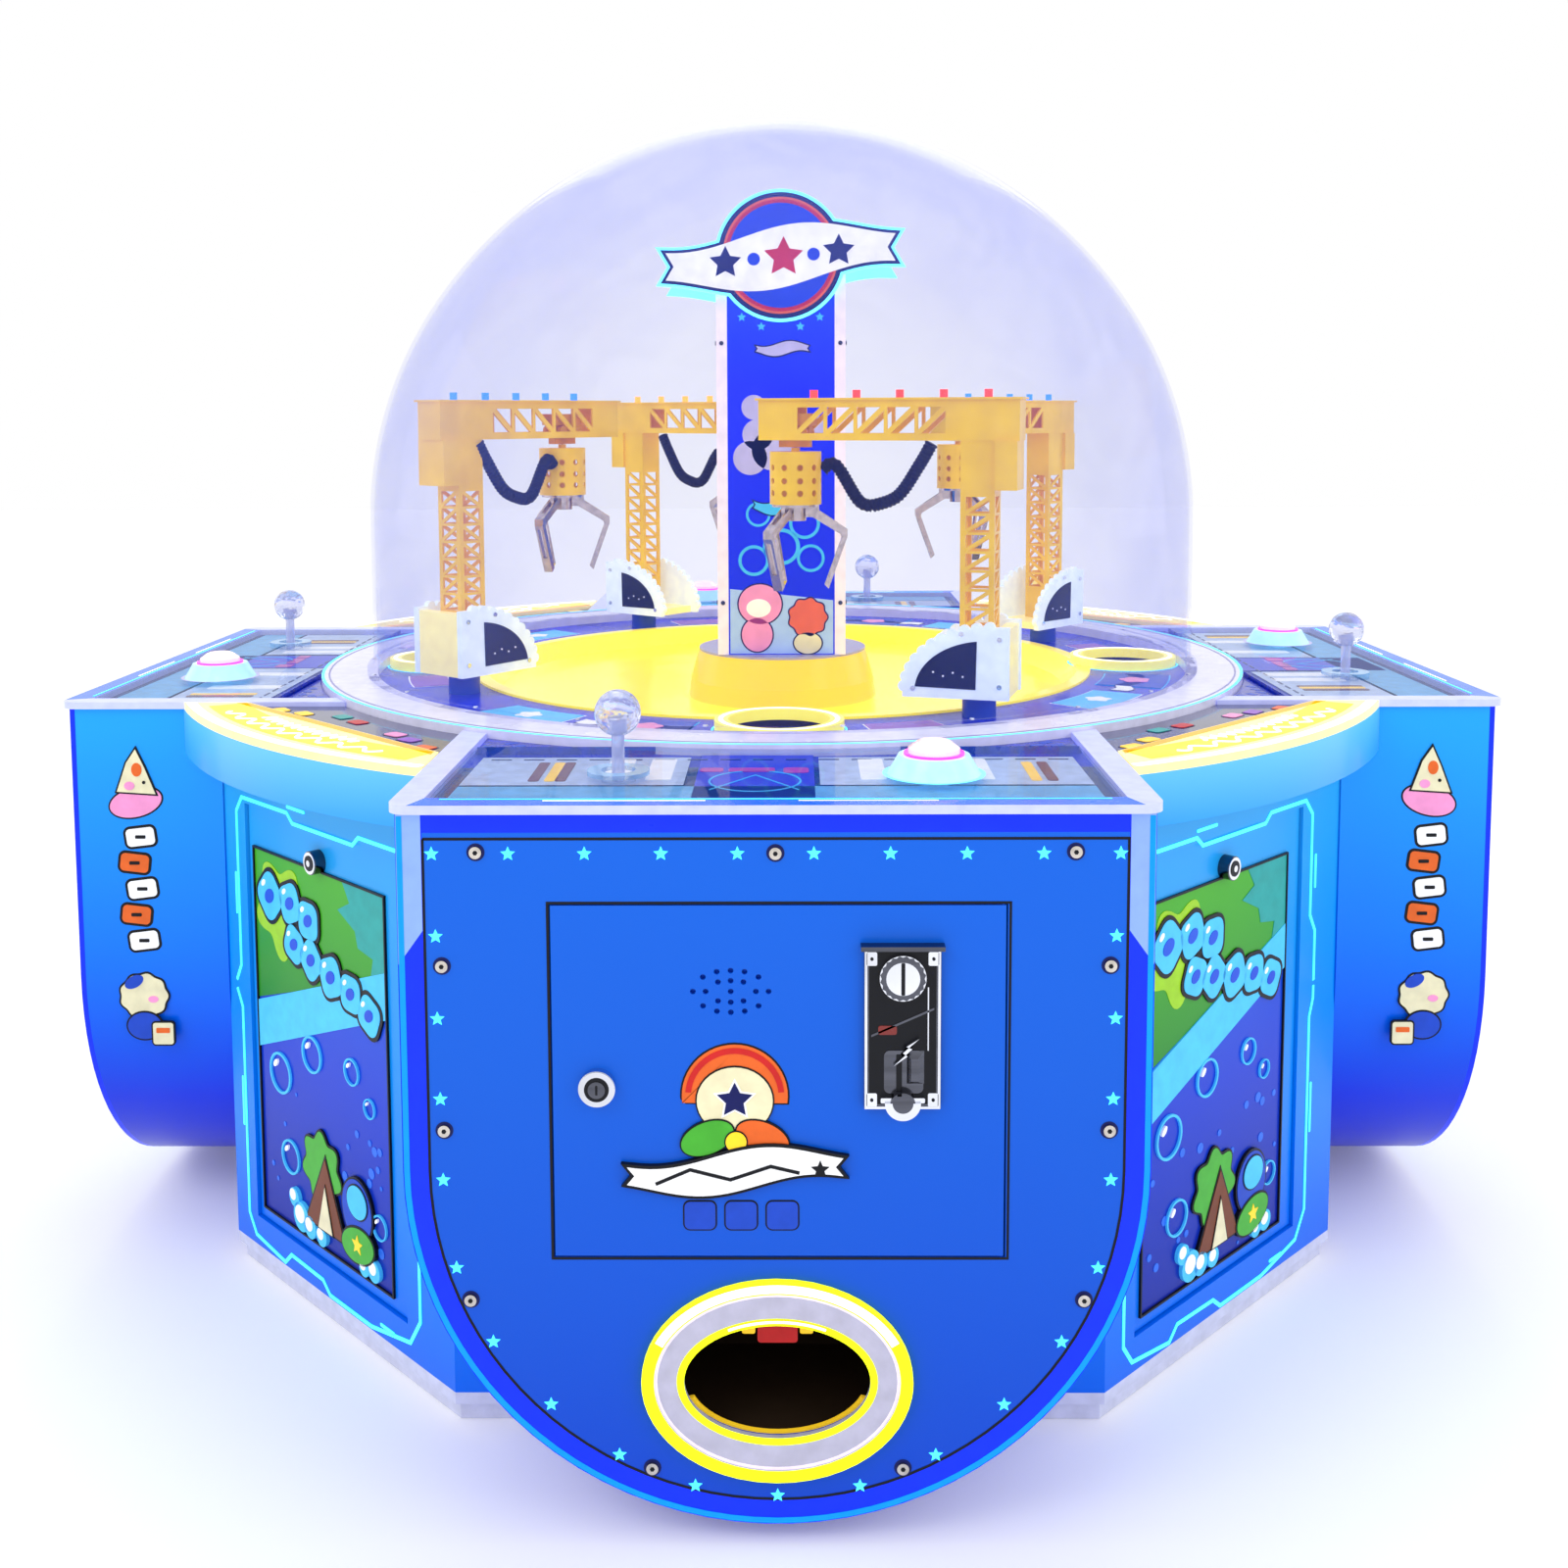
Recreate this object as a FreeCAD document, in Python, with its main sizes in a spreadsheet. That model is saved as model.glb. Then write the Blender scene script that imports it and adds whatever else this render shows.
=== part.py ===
"""Four-player dome machine: four toy tower cranes lift prizes out of one shared bowl.

Millimetres, +Z up, origin on the floor at the centre of the plinth. The machine has four equal
sides. Everything that belongs to one side is modelled once, on the front side that faces -Y,
and is copied to the left, back and right sides by turning it about the Z axis.
"""
import FreeCAD, Part, Sketcher
import math
import os
import re

Vector = FreeCAD.Vector
Rotation = FreeCAD.Rotation
Placement = FreeCAD.Placement
Z_AXIS = Vector(0, 0, 1)

doc = FreeCAD.newDocument("dome_crane_machine")
sheet = doc.addObject("Spreadsheet::Sheet", "dims")

# Driving dimensions, and the heights that hang on them, which start with "=". An alias always
# has an underscore in it.
SIZES = {
    # drum of one player's station
    "station_half_width": 326, "station_face": 825, "drum_floor_gap": 19, "drum_wall": 4,
    "deck_top": 664, "front_half_width": 303, "front_drop": 18,
    "front_top": "=deck_top - front_drop", "front_thick": 6,
    "backing_inner": 274, "backing_drop": 33, "backing_thick": 4, "bolt_radius": 3,
    "bolt_head": 5.3, "head_tall": 3, "stick_bay_half": 34, "stick_bay_deep": 24,
    "button_bay": 20,
    # octagonal cabinet
    "cabinet_reach": 650, "diagonal_reach": 688, "cabinet_wall": 12, "deck_thick": 12,
    "plinth_tall": 20, "plinth_inset": 8, "plinth_wall": 20, "floor_thick": 12,
    # top trim, glass and corner canopies
    "trim_half_width": 332, "trim_reach": 835, "trim_bar": 28, "trim_thick": 8, "trim_round": 18,
    "glass_half_width": 300, "glass_gap": 3, "canopy_radius": 765, "canopy_chord": 670,
    "canopy_thick": 8, "apron_deep": 52, "apron_wall": 6, "panel_thick": 3, "seam_gap": 1.5,
    "glass_back": 590, "trim_back": 440,
    # ring, dome, bowl and centre column
    "ring_outer": 601, "ring_inner": 532, "ring_thick": 12, "dome_radius": 537, "dome_wall": 5,
    "flange_radius": 545, "flange_thick": 6, "shoulder_rise": 198, "dome_rise": 717,
    "dome_shoulder": "=deck_top + shoulder_rise", "dome_height": "=deck_top + dome_rise",
    "dome_bend": 497,
    "bowl_rim": 410, "bowl_mouth": 396, "bowl_wall": 3, "bowl_depth": 43, "bowl_dish": 24,
    "pedestal_radius": 126, "column_disc": 112, "disc_thick": 3, "disc_rise": 25,
    "disc_top": "=deck_top + disc_rise", "column_half": 81, "column_rise": 526,
    "column_top": "=deck_top + column_rise", "column_wall": 4, "strip_width": 14,
    "strip_thick": 2, "sign_radius": 84, "sign_rise": 538, "sign_height": "=deck_top + sign_rise",
    "sign_thick": 10, "sign_wing": 155, "sign_tall": 84,
    # prize chute and outlet
    "chute_reach": 460, "chute_bore": 55, "chute_wall": 3, "chute_ring": 70, "duct_half": 100,
    "duct_low": 92, "duct_high": 300, "duct_wall": 3, "outlet_height": 154.5,
    "outlet_half_width": 82, "outlet_half_tall": 52, "outlet_ring_width": 119.5,
    "outlet_ring_tall": 92.5, "outlet_proud": 7, "outlet_light": 11, "slide_lip": 6,
    # controls
    "stick_side": -146, "stick_reach": 712, "ball_radius": 21.5, "ball_rise": 65,
    "ball_height": "=deck_top + ball_rise", "rod_radius": 6, "pivot_drop": 18,
    "pivot_height": "=deck_top - pivot_drop", "pivot_pin": 2.5, "washer_radius": 29,
    "washer_thick": 4, "stick_hole": 16, "button_side": 145, "button_reach": 712,
    "button_base": 43.5, "button_cap": 24, "button_tall": 30, "button_stem": 6, "button_ring": 4,
    "barrel_radius": 14, "base_tall": 18, "ear_thick": 3, "ear_half": 10, "ear_side": 27,
    # coin door and service door
    "door_left": -194, "door_right": 198, "door_low": 268, "door_high": 582, "door_gap": 1.8,
    "door_pin": 1.5, "service_left": -178, "service_right": 143, "service_low": 70,
    "service_high": 558, "service_thick": 6, "service_recess": 4, "service_pin": 2,
    "service_gap": 2, "acceptor_side": 109, "acceptor_half": 33, "acceptor_drop": 33,
    "acceptor_high": "=door_high - acceptor_drop", "acceptor_tall": 145,
    "acceptor_low": "=acceptor_high - acceptor_tall", "lock_side": -155, "lock_drop": 160,
    "lock_height": "=door_high - lock_drop", "lock_bezel": 16, "lock_barrel": 9,
    "speaker_side": -39, "speaker_drop": 76, "speaker_height": "=door_high - speaker_drop",
    "speaker_radius": 42,
    "speaker_bore": 2.5, "case_half": 27, "case_deep": 72, "slot_knob": 20, "slot_width": 4,
    "slot_tall": 30, "service_lock": 13, "service_barrel": 8,
    # crane
    "crane_reach": 446, "boot_back": 40, "boot_front": 78, "boot_half": 43.5, "boot_rise": 26,
    "boot_low": "=deck_top + boot_rise", "boot_tall": 80, "boot_high": "=boot_low + boot_tall",
    "side_plate": 8, "post_radius": 19, "spindle_radius": 8, "tower_half": 19,
    "tower_wall": 2.5, "jib_rise": 308, "jib_low": "=deck_top + jib_rise", "jib_tall": 45,
    "jib_high": "=jib_low + jib_tall", "jib_half": 20, "jib_wall": 3,
    "jib_tail": 46, "jib_nose": 252, "jib_slot": 8, "strip_over": 3, "lamp_radius": 4.5,
    "lamp_tall": 9, "lamp_pitch": 50, "wheel_radius": 6, "head_radius": 29.5, "head_wall": 2,
    "head_rise": 235, "head_low": "=deck_top + head_rise", "cup_tall": 60,
    "head_high": "=head_low + cup_tall", "hub_radius": 12, "lug_reach": 22, "lug_drop": 10,
    "lug_height": "=head_low - lug_drop",
    "lug_thick": 5, "claw_pin": 2, "finger_half": 6, "knee_reach": 56, "knee_drop": 32,
    "knee_height": "=head_low - knee_drop", "tip_reach": 38, "tip_drop": 95,
    "tip_height": "=head_low - tip_drop", "finger_slot": 3.2, "run_gap": 0.08, "lift_gap": 0.3,
    "slew_half": 27, "slew_tall": 44, "axle_radius": 2, "axle_spread": 12, "motor_half": 23,
    "motor_tall": 54, "solenoid_radius": 17, "drill_radius": 3.6, "lamp_start": 8,
}
for row, (alias, number) in enumerate(SIZES.items(), start=1):
    sheet.set("A%d" % row, alias.replace("_", " "))
    sheet.set("B%d" % row, str(number))
    sheet.setAlias("B%d" % row, alias)
doc.recompute()

STATION_TURN = {"front": 0, "left": -90, "back": 180, "right": 90}
CORNER_NAME = {"front": "front_left", "left": "back_left", "back": "back_right",
               "right": "front_right"}
# How each crane stands at rest: jib heading in its own side's frame, and claw reach from pivot.
CRANE_REST = {"front": (163, 214), "left": (142, 170), "back": (142, 214), "right": (138, 214)}
CRANE_AZIMUTH = -60
PIVOT_SIDE = "crane_reach * cos(60)"
PIVOT_BACK = "-crane_reach * sin(60)"
FINGER_PHASE = 195
nodes = []


def size(alias):
    return float(sheet.get(alias))


def bind(obj, prop, value):
    """Set a property to a number, or bind it to an expression of sheet aliases."""
    if isinstance(value, str):
        obj.setExpression(prop, re.sub(r"\b([a-z]+_[a-z_]+)\b", r"dims.\1", value))
    else:
        obj.setExpression(prop, str(value))


def make(kind, name, sizes, at=(0, 0, 0), turn=None):
    obj = doc.addObject(kind, name)
    if turn:
        obj.Placement.Rotation = Rotation(*turn)
    for prop, value in sizes.items():
        bind(obj, prop, value)
    for axis, value in zip("xyz", at):
        bind(obj, "Placement.Base." + axis, value)
    return obj


def box(name, low, length, width, height):
    return make("Part::Box", name, {"Length": length, "Width": width, "Height": height}, low)


def rod(name, radius, height, at, axis="z"):
    """A cylinder that runs from at towards +x, +y or +z."""
    turn = {"x": (Vector(0, 1, 0), 90), "y": (Vector(1, 0, 0), -90), "z": None}[axis]
    return make("Part::Cylinder", name, {"Radius": radius, "Height": height}, at, turn)


def tapered(name, low_radius, high_radius, height, at):
    sizes = {"Radius1": low_radius, "Radius2": high_radius, "Height": height}
    return make("Part::Cone", name, sizes, at)


def oval(name, half_width, half_tall, thick, at):
    """An elliptical plate that stands in the XZ plane and runs from at towards +Y."""
    sizes = {"MajorRadius": half_width, "MinorRadius": half_tall}
    edge = make("Part::Ellipse", name + "_edge", sizes, at, (Vector(1, 0, 0), 90))
    plate = doc.addObject("Part::Extrusion", name)
    plate.Base = edge
    plate.DirMode = "Custom"
    plate.Dir = Vector(0, 1, 0)
    plate.Solid = True
    bind(plate, "LengthFwd", thick)
    return plate


def cut(name, base, *tools):
    result = base
    for number, tool in enumerate(tools):
        last = number == len(tools) - 1
        step = doc.addObject("Part::Cut", name if last else "%s_step%d" % (name, number))
        step.Base, step.Tool = result, tool
        result = step
    return result


def common(name, first, second):
    obj = doc.addObject("Part::Common", name)
    obj.Base, obj.Tool = first, second
    return obj


def fuse(name, *shapes):
    obj = doc.addObject("Part::MultiFuse", name)
    obj.Shapes = list(shapes)
    obj.Refine = True
    return obj


def group(name, *members, placement=None):
    obj = doc.addObject("Part::Compound", name)
    obj.Links = list(members)
    if placement:
        obj.Placement = placement
    return obj


def node(label, *members, placement=None):
    """A sub-part: a group of solids that is written to a file of its own."""
    obj = group(label, *members, placement=placement)
    obj.Label = label
    nodes.append(obj)
    return obj


def turned(degrees):
    return Placement(Vector(), Rotation(Z_AXIS, degrees))


def four(name, *members, extra=0):
    """The members on all four sides."""
    return [group("%s_%s" % (name, side), *members, placement=turned(angle + extra))
            for side, angle in STATION_TURN.items()]


def feature(name, shape):
    obj = doc.addObject("Part::Feature", name)
    obj.Shape = shape
    return obj


def sketch_profile(body, role, corners):
    """A closed sketch of straight lines whose corners are bound to the sheet."""
    sketch = body.newObject("Sketcher::SketchObject", body.Name + "_profile")
    plane = [item for item in body.Origin.OriginFeatures if item.Role == role][0]
    sketch.AttachmentSupport = [(plane, "")]
    sketch.MapMode = "FlatFace"
    doc.recompute()
    count = len(corners)
    values = [[sheet_value(value) for value in corner] for corner in corners]
    for index in range(count):
        here, there = values[index], values[(index + 1) % count]
        sketch.addGeometry(Part.LineSegment(Vector(*here, 0), Vector(*there, 0)), False)
    for index in range(count):
        sketch.addConstraint(Sketcher.Constraint("Coincident", index, 2, (index + 1) % count, 1))
    for index in range(count):
        for kind, value, number in zip(("DistanceX", "DistanceY"), corners[index], values[index]):
            place = sketch.addConstraint(Sketcher.Constraint(kind, -1, 1, index, 1, number))
            if isinstance(value, str):
                bind(sketch, "Constraints[%d]" % place, value)
    return sketch


def sheet_value(value):
    """The number that a corner's expression stands for now."""
    if not isinstance(value, str):
        return float(value)
    probe = doc.getObject("probe") or doc.addObject("App::FeaturePython", "probe")
    if "number" not in probe.PropertiesList:
        probe.addProperty("App::PropertyFloat", "number")
    bind(probe, "number", value)
    probe.recompute()
    return float(probe.number)


def spun(name, corners):
    """A turned piece: the outline's (radius, height) corners, spun about Z."""
    body = doc.addObject("PartDesign::Body", name)
    sketch = sketch_profile(body, "XZ_Plane", corners)
    revolution = body.newObject("PartDesign::Revolution", name + "_revolution")
    revolution.Profile = sketch
    revolution.ReferenceAxis = (sketch, ["V_Axis"])
    revolution.Angle = 360
    return body


def sheet_piece(name, corners, half_thick):
    """A flat piece whose outline stands in the XZ plane, padded both ways along Y."""
    body = doc.addObject("PartDesign::Body", name)
    sketch = sketch_profile(body, "XZ_Plane", corners)
    pad = body.newObject("PartDesign::Pad", name + "_pad")
    pad.Profile = sketch
    pad.Midplane = True
    bind(pad, "Length", half_thick + " * 2")
    return body


# ---------------------------------------------------------------- octagonal cabinet

def octagon(name, inset, low, tall):
    """A prism with the cabinet's eight sides, each moved in by inset."""
    reach = "cabinet_reach - " + inset
    square = box(name + "_square", ("-(%s)" % reach, "-(%s)" % reach, low),
                 "2 * (%s)" % reach, "2 * (%s)" % reach, tall)
    corner_reach = "diagonal_reach - " + inset
    diamond = box(name + "_corner_box", ("-(%s)" % corner_reach, "-(%s)" % corner_reach, low),
                  "2 * (%s)" % corner_reach, "2 * (%s)" % corner_reach, tall)
    return common(name, square, group(name + "_diamond", diamond, placement=turned(45)))


def service_opening():
    hole = box("service_hole", ("service_left - service_gap",
                                "-diagonal_reach - 1", "service_low - service_gap"),
               "service_right - service_left + 2 * service_gap", "cabinet_wall + 2",
               "service_high - service_low + 2 * service_gap")
    pin = rod("service_pin_hole", "service_pin + run_gap",
              "service_right - service_left + 16 * service_gap",
              ("service_left - 8 * service_gap",
               "-diagonal_reach + service_recess + service_thick / 2",
               "service_low + service_thick / 2"), "x")
    return group("service_opening", *four("service_hole", hole, extra=-45),
                 *four("service_pin_hole", pin, extra=-45))


def build_cabinet():
    outer = octagon("cabinet_outer", "0", "plinth_tall + floor_thick",
                    "deck_top - deck_thick - plinth_tall - floor_thick")
    inner = octagon("cabinet_inner", "cabinet_wall", "plinth_tall", "deck_top")
    duct = box("duct_hole", ("-duct_half - 4", "-cabinet_reach - 1", "duct_low - 4"),
               "2 * duct_half + 8", "cabinet_wall + 2", "duct_high - duct_low + 8")
    shell = cut("cabinet_walls", outer, inner, service_opening(),
                group("duct_holes", *four("duct_hole", duct)))
    node("cabinet_shell", shell)

    plinth = cut("plinth_ring", octagon("plinth_outer", "plinth_inset", 0, "plinth_tall"),
                 octagon("plinth_inner", "(plinth_inset + plinth_wall)", -1, "plinth_tall + 2"))
    floor = octagon("base_board", "0", "plinth_tall", "floor_thick")
    supply = box("power_supply", (-120, 60, "plinth_tall + floor_thick"), 240, 120, 60)
    controller = box("controller_case", (-110, -140, "plinth_tall + floor_thick"), 220, 140, 45)
    slew_low = "deck_top - deck_thick - slew_tall"
    slew_case = box("slew_case", ("%s - slew_half" % PIVOT_SIDE, "%s - slew_half" % PIVOT_BACK,
                                  slew_low), "2 * slew_half", "2 * slew_half", "slew_tall")
    slew_motor = cut("slew_motor", slew_case, rod("slew_bore", "spindle_radius + run_gap", 80,
                                                  (PIVOT_SIDE, PIVOT_BACK, "deck_top - 40")))
    node("plinth", plinth, floor, supply, controller, *four("slew_motors", slew_motor))


# ---------------------------------------------------------------- station drum

def drum_solid(name, half, top, front, depth):
    """The U outline of a station, half wide, flat at top and round below, from y = front."""
    middle = "drum_floor_gap + station_half_width"
    upper = box(name + "_upper", ("-(%s)" % half, front, middle), "2 * (%s)" % half, depth,
                "%s - (%s)" % (top, middle))
    lower = rod(name + "_lower", half, depth, (0, front, middle), "y")
    bind(lower, "Angle", 180)
    return fuse(name, upper, lower)


def bolt_places():
    return ((-257, 629), (257, 629), (0, 628), (-288, 529), (288, 529), (-289, 382), (289, 382),
            (-269, 228), (269, 228), (-111, 72), (111, 72))


def build_station():
    """The drum, its lit band, front plate and bolts, and the trim that frames the glass."""
    front = "-station_face"
    inside = "-station_face + front_thick"
    deep = "station_face - front_thick - cabinet_reach"
    skin = cut("drum_skin", drum_solid("drum_outer", "station_half_width", "deck_top", inside, deep),
               drum_solid("drum_inner", "station_half_width - drum_wall", "deck_top - drum_wall",
                          "-station_face + front_thick + backing_thick", deep),
               drum_solid("drum_mouth", "backing_inner", "front_top - backing_drop", "-station_face",
                          "3 * front_thick"),
               box("stick_bay", ("stick_side - stick_bay_half", "-stick_reach - stick_bay_deep",
                                 "deck_top - 10"),
                   "2 * stick_bay_half", "2 * stick_bay_deep", 20),
               rod("button_bay_cut", "button_bay", 20, ("button_side", "-button_reach", "deck_top - 10")))
    band = cut("led_band", drum_solid("band_outer", "station_half_width", "deck_top", front,
                                      "front_thick"),
               drum_solid("band_inner", "front_half_width", "front_top", "-station_face - 1",
                          "front_thick + 2"))

    plate = drum_solid("plate_outline", "front_half_width - run_gap", "front_top - run_gap", front,
                       "front_thick")
    door_hole = box("door_hole", ("door_left - door_gap", "-station_face - 1",
                                  "door_low - door_gap"),
                    "door_right - door_left + 2 * door_gap", "front_thick + 2",
                    "door_high - door_low + 2 * door_gap")
    pin_hole = rod("door_pin_hole", "door_pin + run_gap", "door_high - door_low + 16",
                   ("door_right - 2", "-station_face + front_thick / 2", "door_low - 8"))
    prize_hole = oval("prize_hole", "outlet_half_width + 3", "outlet_half_tall + 3",
                      "front_thick + 2", (0, "-station_face - 1", "outlet_height"))
    bolt_holes, bolts = [], []
    for number, (side, height) in enumerate(bolt_places()):
        spot = (side, "-station_face - 1", height)
        bolt_holes.append(rod("bolt_hole%d" % number, "bolt_radius + lift_gap",
                              "front_thick + 2", spot, "y"))
        head = rod("bolt_head%d" % number, "bolt_head", "head_tall",
                   (side, "-station_face - head_tall", height), "y")
        shank = rod("bolt_shank%d" % number, "bolt_radius", "front_thick",
                    (side, "-station_face", height), "y")
        bolts.append(fuse("bolt%d" % number, head, shank))
    front_plate = cut("front_plate", plate, door_hole, pin_hole, prize_hole,
                      group("bolt_holes", *bolt_holes))

    trim_low = "deck_top"
    outer = box("trim_outer", ("-trim_half_width", "-trim_reach", trim_low), "2 * trim_half_width",
                "trim_reach - trim_back", "trim_thick")
    rounded = doc.addObject("Part::Fillet", "trim_rounded")
    rounded.Base = outer
    doc.recompute()
    corner_edges = [number for number, edge in enumerate(outer.Shape.Edges, start=1)
                    if edge.BoundBox.ZLength > 1 and edge.BoundBox.YMax < -size("trim_reach") + 1]
    rounded.Edges = [(number, size("trim_round"), size("trim_round")) for number in corner_edges]
    inner = box("trim_inner", ("-trim_half_width + trim_bar", "-trim_reach + trim_bar",
                               "deck_top - 1"),
                "2 * (trim_half_width - trim_bar)", "trim_reach", "trim_thick + 2")
    round_hole = rod("trim_ring_hole", "ring_outer + seam_gap", "trim_thick + 2",
                     (0, 0, "deck_top - 1"))
    trim = cut("top_trim", rounded, inner, round_hole)
    node("station_housings", *four("drum", skin, band))
    node("station_fronts", *four("front_plate", front_plate))
    node("fasteners", *four("bolts", *bolts))
    return trim


def build_outlets():
    """The oval light ring round each prize outlet: outer light, flat band and inner bevel."""
    face = "-station_face - outlet_proud"
    outer = cut("outlet_light", oval("outlet_light_outer", "outlet_ring_width", "outlet_ring_tall",
                                     "outlet_proud", (0, face, "outlet_height")),
                oval("outlet_light_inner", "outlet_ring_width - outlet_light",
                     "outlet_ring_tall - outlet_light", "outlet_proud + 2",
                     (0, "-station_face - outlet_proud - 1", "outlet_height")))
    band = cut("outlet_band", oval("outlet_band_outer", "outlet_ring_width - outlet_light",
                                   "outlet_ring_tall - outlet_light", "outlet_proud - 2",
                                   (0, "-station_face - outlet_proud + 2", "outlet_height")),
               oval("outlet_band_inner", "outlet_half_width", "outlet_half_tall",
                    "outlet_proud + 2", (0, "-station_face - outlet_proud - 1", "outlet_height")))
    node("prize_outlets", *four("outlet_ring", outer, band))


def build_chutes():
    """Each chute: a light ring in the deck, a drop tube and a duct with a sloping floor."""
    spot = (0, "-chute_reach")
    ring = cut("chute_light", rod("chute_light_outer", "chute_ring", "ring_thick",
                                  (*spot, "deck_top")),
               rod("chute_light_inner", "chute_bore", "3 * ring_thick",
                   (*spot, "deck_top - ring_thick")))
    tube = cut("chute_tube", rod("chute_tube_outer", "chute_bore + chute_wall",
                                 "deck_top - duct_high", (*spot, "duct_high")),
               rod("chute_tube_inner", "chute_bore", "deck_top", (*spot, "duct_high - 50")))
    inner_end = "chute_reach - chute_bore - chute_wall - slide_lip"
    duct = cut("duct", box("duct_outer", ("-duct_half", "-station_face + front_thick", "duct_low"),
                           "2 * duct_half", "station_face - front_thick - (%s)" % inner_end,
                           "duct_high - duct_low"),
               box("duct_inner", ("-duct_half + duct_wall", "-station_face", "duct_low + duct_wall"),
                   "2 * (duct_half - duct_wall)",
                   "station_face - duct_wall - (%s)" % inner_end,
                   "duct_high - duct_low - 2 * duct_wall"),
               rod("duct_mouth", "chute_bore", 40, (*spot, "duct_high - 20")))
    slide = duct_slide()
    node("prize_chutes", *four("chute", ring, tube, duct, slide))


def duct_slide():
    """The sloping floor inside a duct, seen from the side and padded across it."""
    lip = size("slide_lip")
    back = size("chute_reach") - size("chute_bore") - size("chute_wall") - lip + size("duct_wall")
    low = size("duct_low") + size("duct_wall")
    rise = size("duct_high") - size("duct_low") - 4 * size("duct_wall") - 20
    half = size("duct_half") - size("duct_wall")
    slope_end = size("cabinet_reach") + 20
    corners = [(-back, low), (-back, low + rise), (-back - lip, low + rise), (-slope_end, low)]
    points = [Vector(-half, across, height) for across, height in corners]
    outline = Part.Face(Part.makePolygon(points + points[:1]))
    return feature("duct_slide", outline.extrude(Vector(2 * half, 0, 0)))


# ---------------------------------------------------------------- top deck

def build_deck():
    """The deck plate, the corner canopies and the panels printed on top."""
    plate = octagon("deck_plate_blank", "0", "deck_top - deck_thick", "deck_thick")
    low = "deck_top - deck_thick - 1"
    well = rod("bowl_well", "bowl_mouth + 3", "deck_thick + 2", (0, 0, low))
    chute_hole = rod("chute_hole", "chute_bore + chute_wall", "deck_thick + 2",
                     (0, "-chute_reach", low))
    spindle_hole = rod("spindle_hole", "spindle_radius + 4", "deck_thick + 2",
                       (PIVOT_SIDE, PIVOT_BACK, low))
    plate = cut("deck_plate", plate, well, group("deck_holes", *four("deck_hole", chute_hole,
                                                                      spindle_hole)))
    ring_hole = rod("panel_ring_hole", "ring_outer + seam_gap", 20, (0, 0, "deck_top - 1"))
    side = "trim_half_width + seam_gap"
    corner = box("corner_blank", ("-canopy_radius", "-canopy_radius", "deck_top"),
                 "canopy_radius - (%s)" % side, "canopy_radius - (%s)" % side, "panel_thick")
    beyond = group("corner_beyond", box("corner_chord", ("-canopy_radius", "-2 * canopy_radius",
                                                         "deck_top - 1"), "2 * canopy_radius",
                                        "2 * canopy_radius - canopy_chord", 20),
                   placement=turned(-45))
    corner_panel = cut("corner_panel", corner, ring_hole, beyond)
    half = "trim_half_width - trim_bar - seam_gap"
    inner_panel = cut("station_panel",
                      box("station_blank", ("-(%s)" % half, "-glass_back + glass_gap", "deck_top"),
                          "2 * (%s)" % half, 200, "panel_thick"), ring_hole)
    node("deck", plate)

    round_blank = rod("canopy_disc", "canopy_radius", "canopy_thick", (0, 0, "deck_top"))
    quarter = box("canopy_quarter", ("-canopy_radius", "-canopy_radius", "deck_top - 200"),
                  "canopy_radius - (%s)" % side, "canopy_radius - (%s)" % side, 400)
    inside_chord = group("canopy_chord_cut",
                         box("canopy_chord_box", ("-canopy_radius", "-canopy_chord", "deck_top - 1"),
                             "2 * canopy_radius", "2 * canopy_radius", 60), placement=turned(-45))
    lens = cut("canopy_lens", common("canopy_piece", round_blank, quarter), inside_chord)
    apron_blank = cut("apron_blank", rod("apron_outer", "canopy_radius", "apron_deep",
                                         (0, 0, "deck_top - apron_deep")),
                      rod("apron_inner", "canopy_radius - apron_wall", "apron_deep + 2",
                          (0, 0, "deck_top - apron_deep - 1")))
    station_side = box("apron_quarter", ("-canopy_radius", "-canopy_radius", "deck_top - 200"),
                       "canopy_radius - station_half_width - lift_gap",
                       "canopy_radius - station_half_width - lift_gap", 400)
    apron_inside = group("apron_inside",
                         box("apron_inside_box", ("-canopy_radius", "-diagonal_reach",
                                                  "deck_top - 200"), "2 * canopy_radius",
                             "2 * canopy_radius", 400), placement=turned(-45))
    apron = cut("canopy_apron", common("apron_piece", apron_blank, station_side), apron_inside)
    node("canopies", *four("canopy", lens, apron, corner_panel))
    return inner_panel


def build_ring_and_dome():
    ring = cut("ring_plate", rod("ring_disc", "ring_outer", "ring_thick", (0, 0, "deck_top")),
               rod("ring_hole", "ring_inner", "ring_thick + 2", (0, 0, "deck_top - 1")))
    node("dome_ring", ring)

    foot = size("deck_top") + size("ring_thick")
    node("dome", feature("dome_shell", dome_shape(foot)))


def dome_shape(foot):
    """A thin shell: an upright cylinder with a two-arc cap, and a foot flange."""
    outer = domed_solid(foot, 0)
    flange = Part.makeCylinder(size("flange_radius"), size("flange_thick"), Vector(0, 0, foot))
    inner = domed_solid(foot - 1, size("dome_wall"))
    return outer.fuse(flange).cut(inner)


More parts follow.
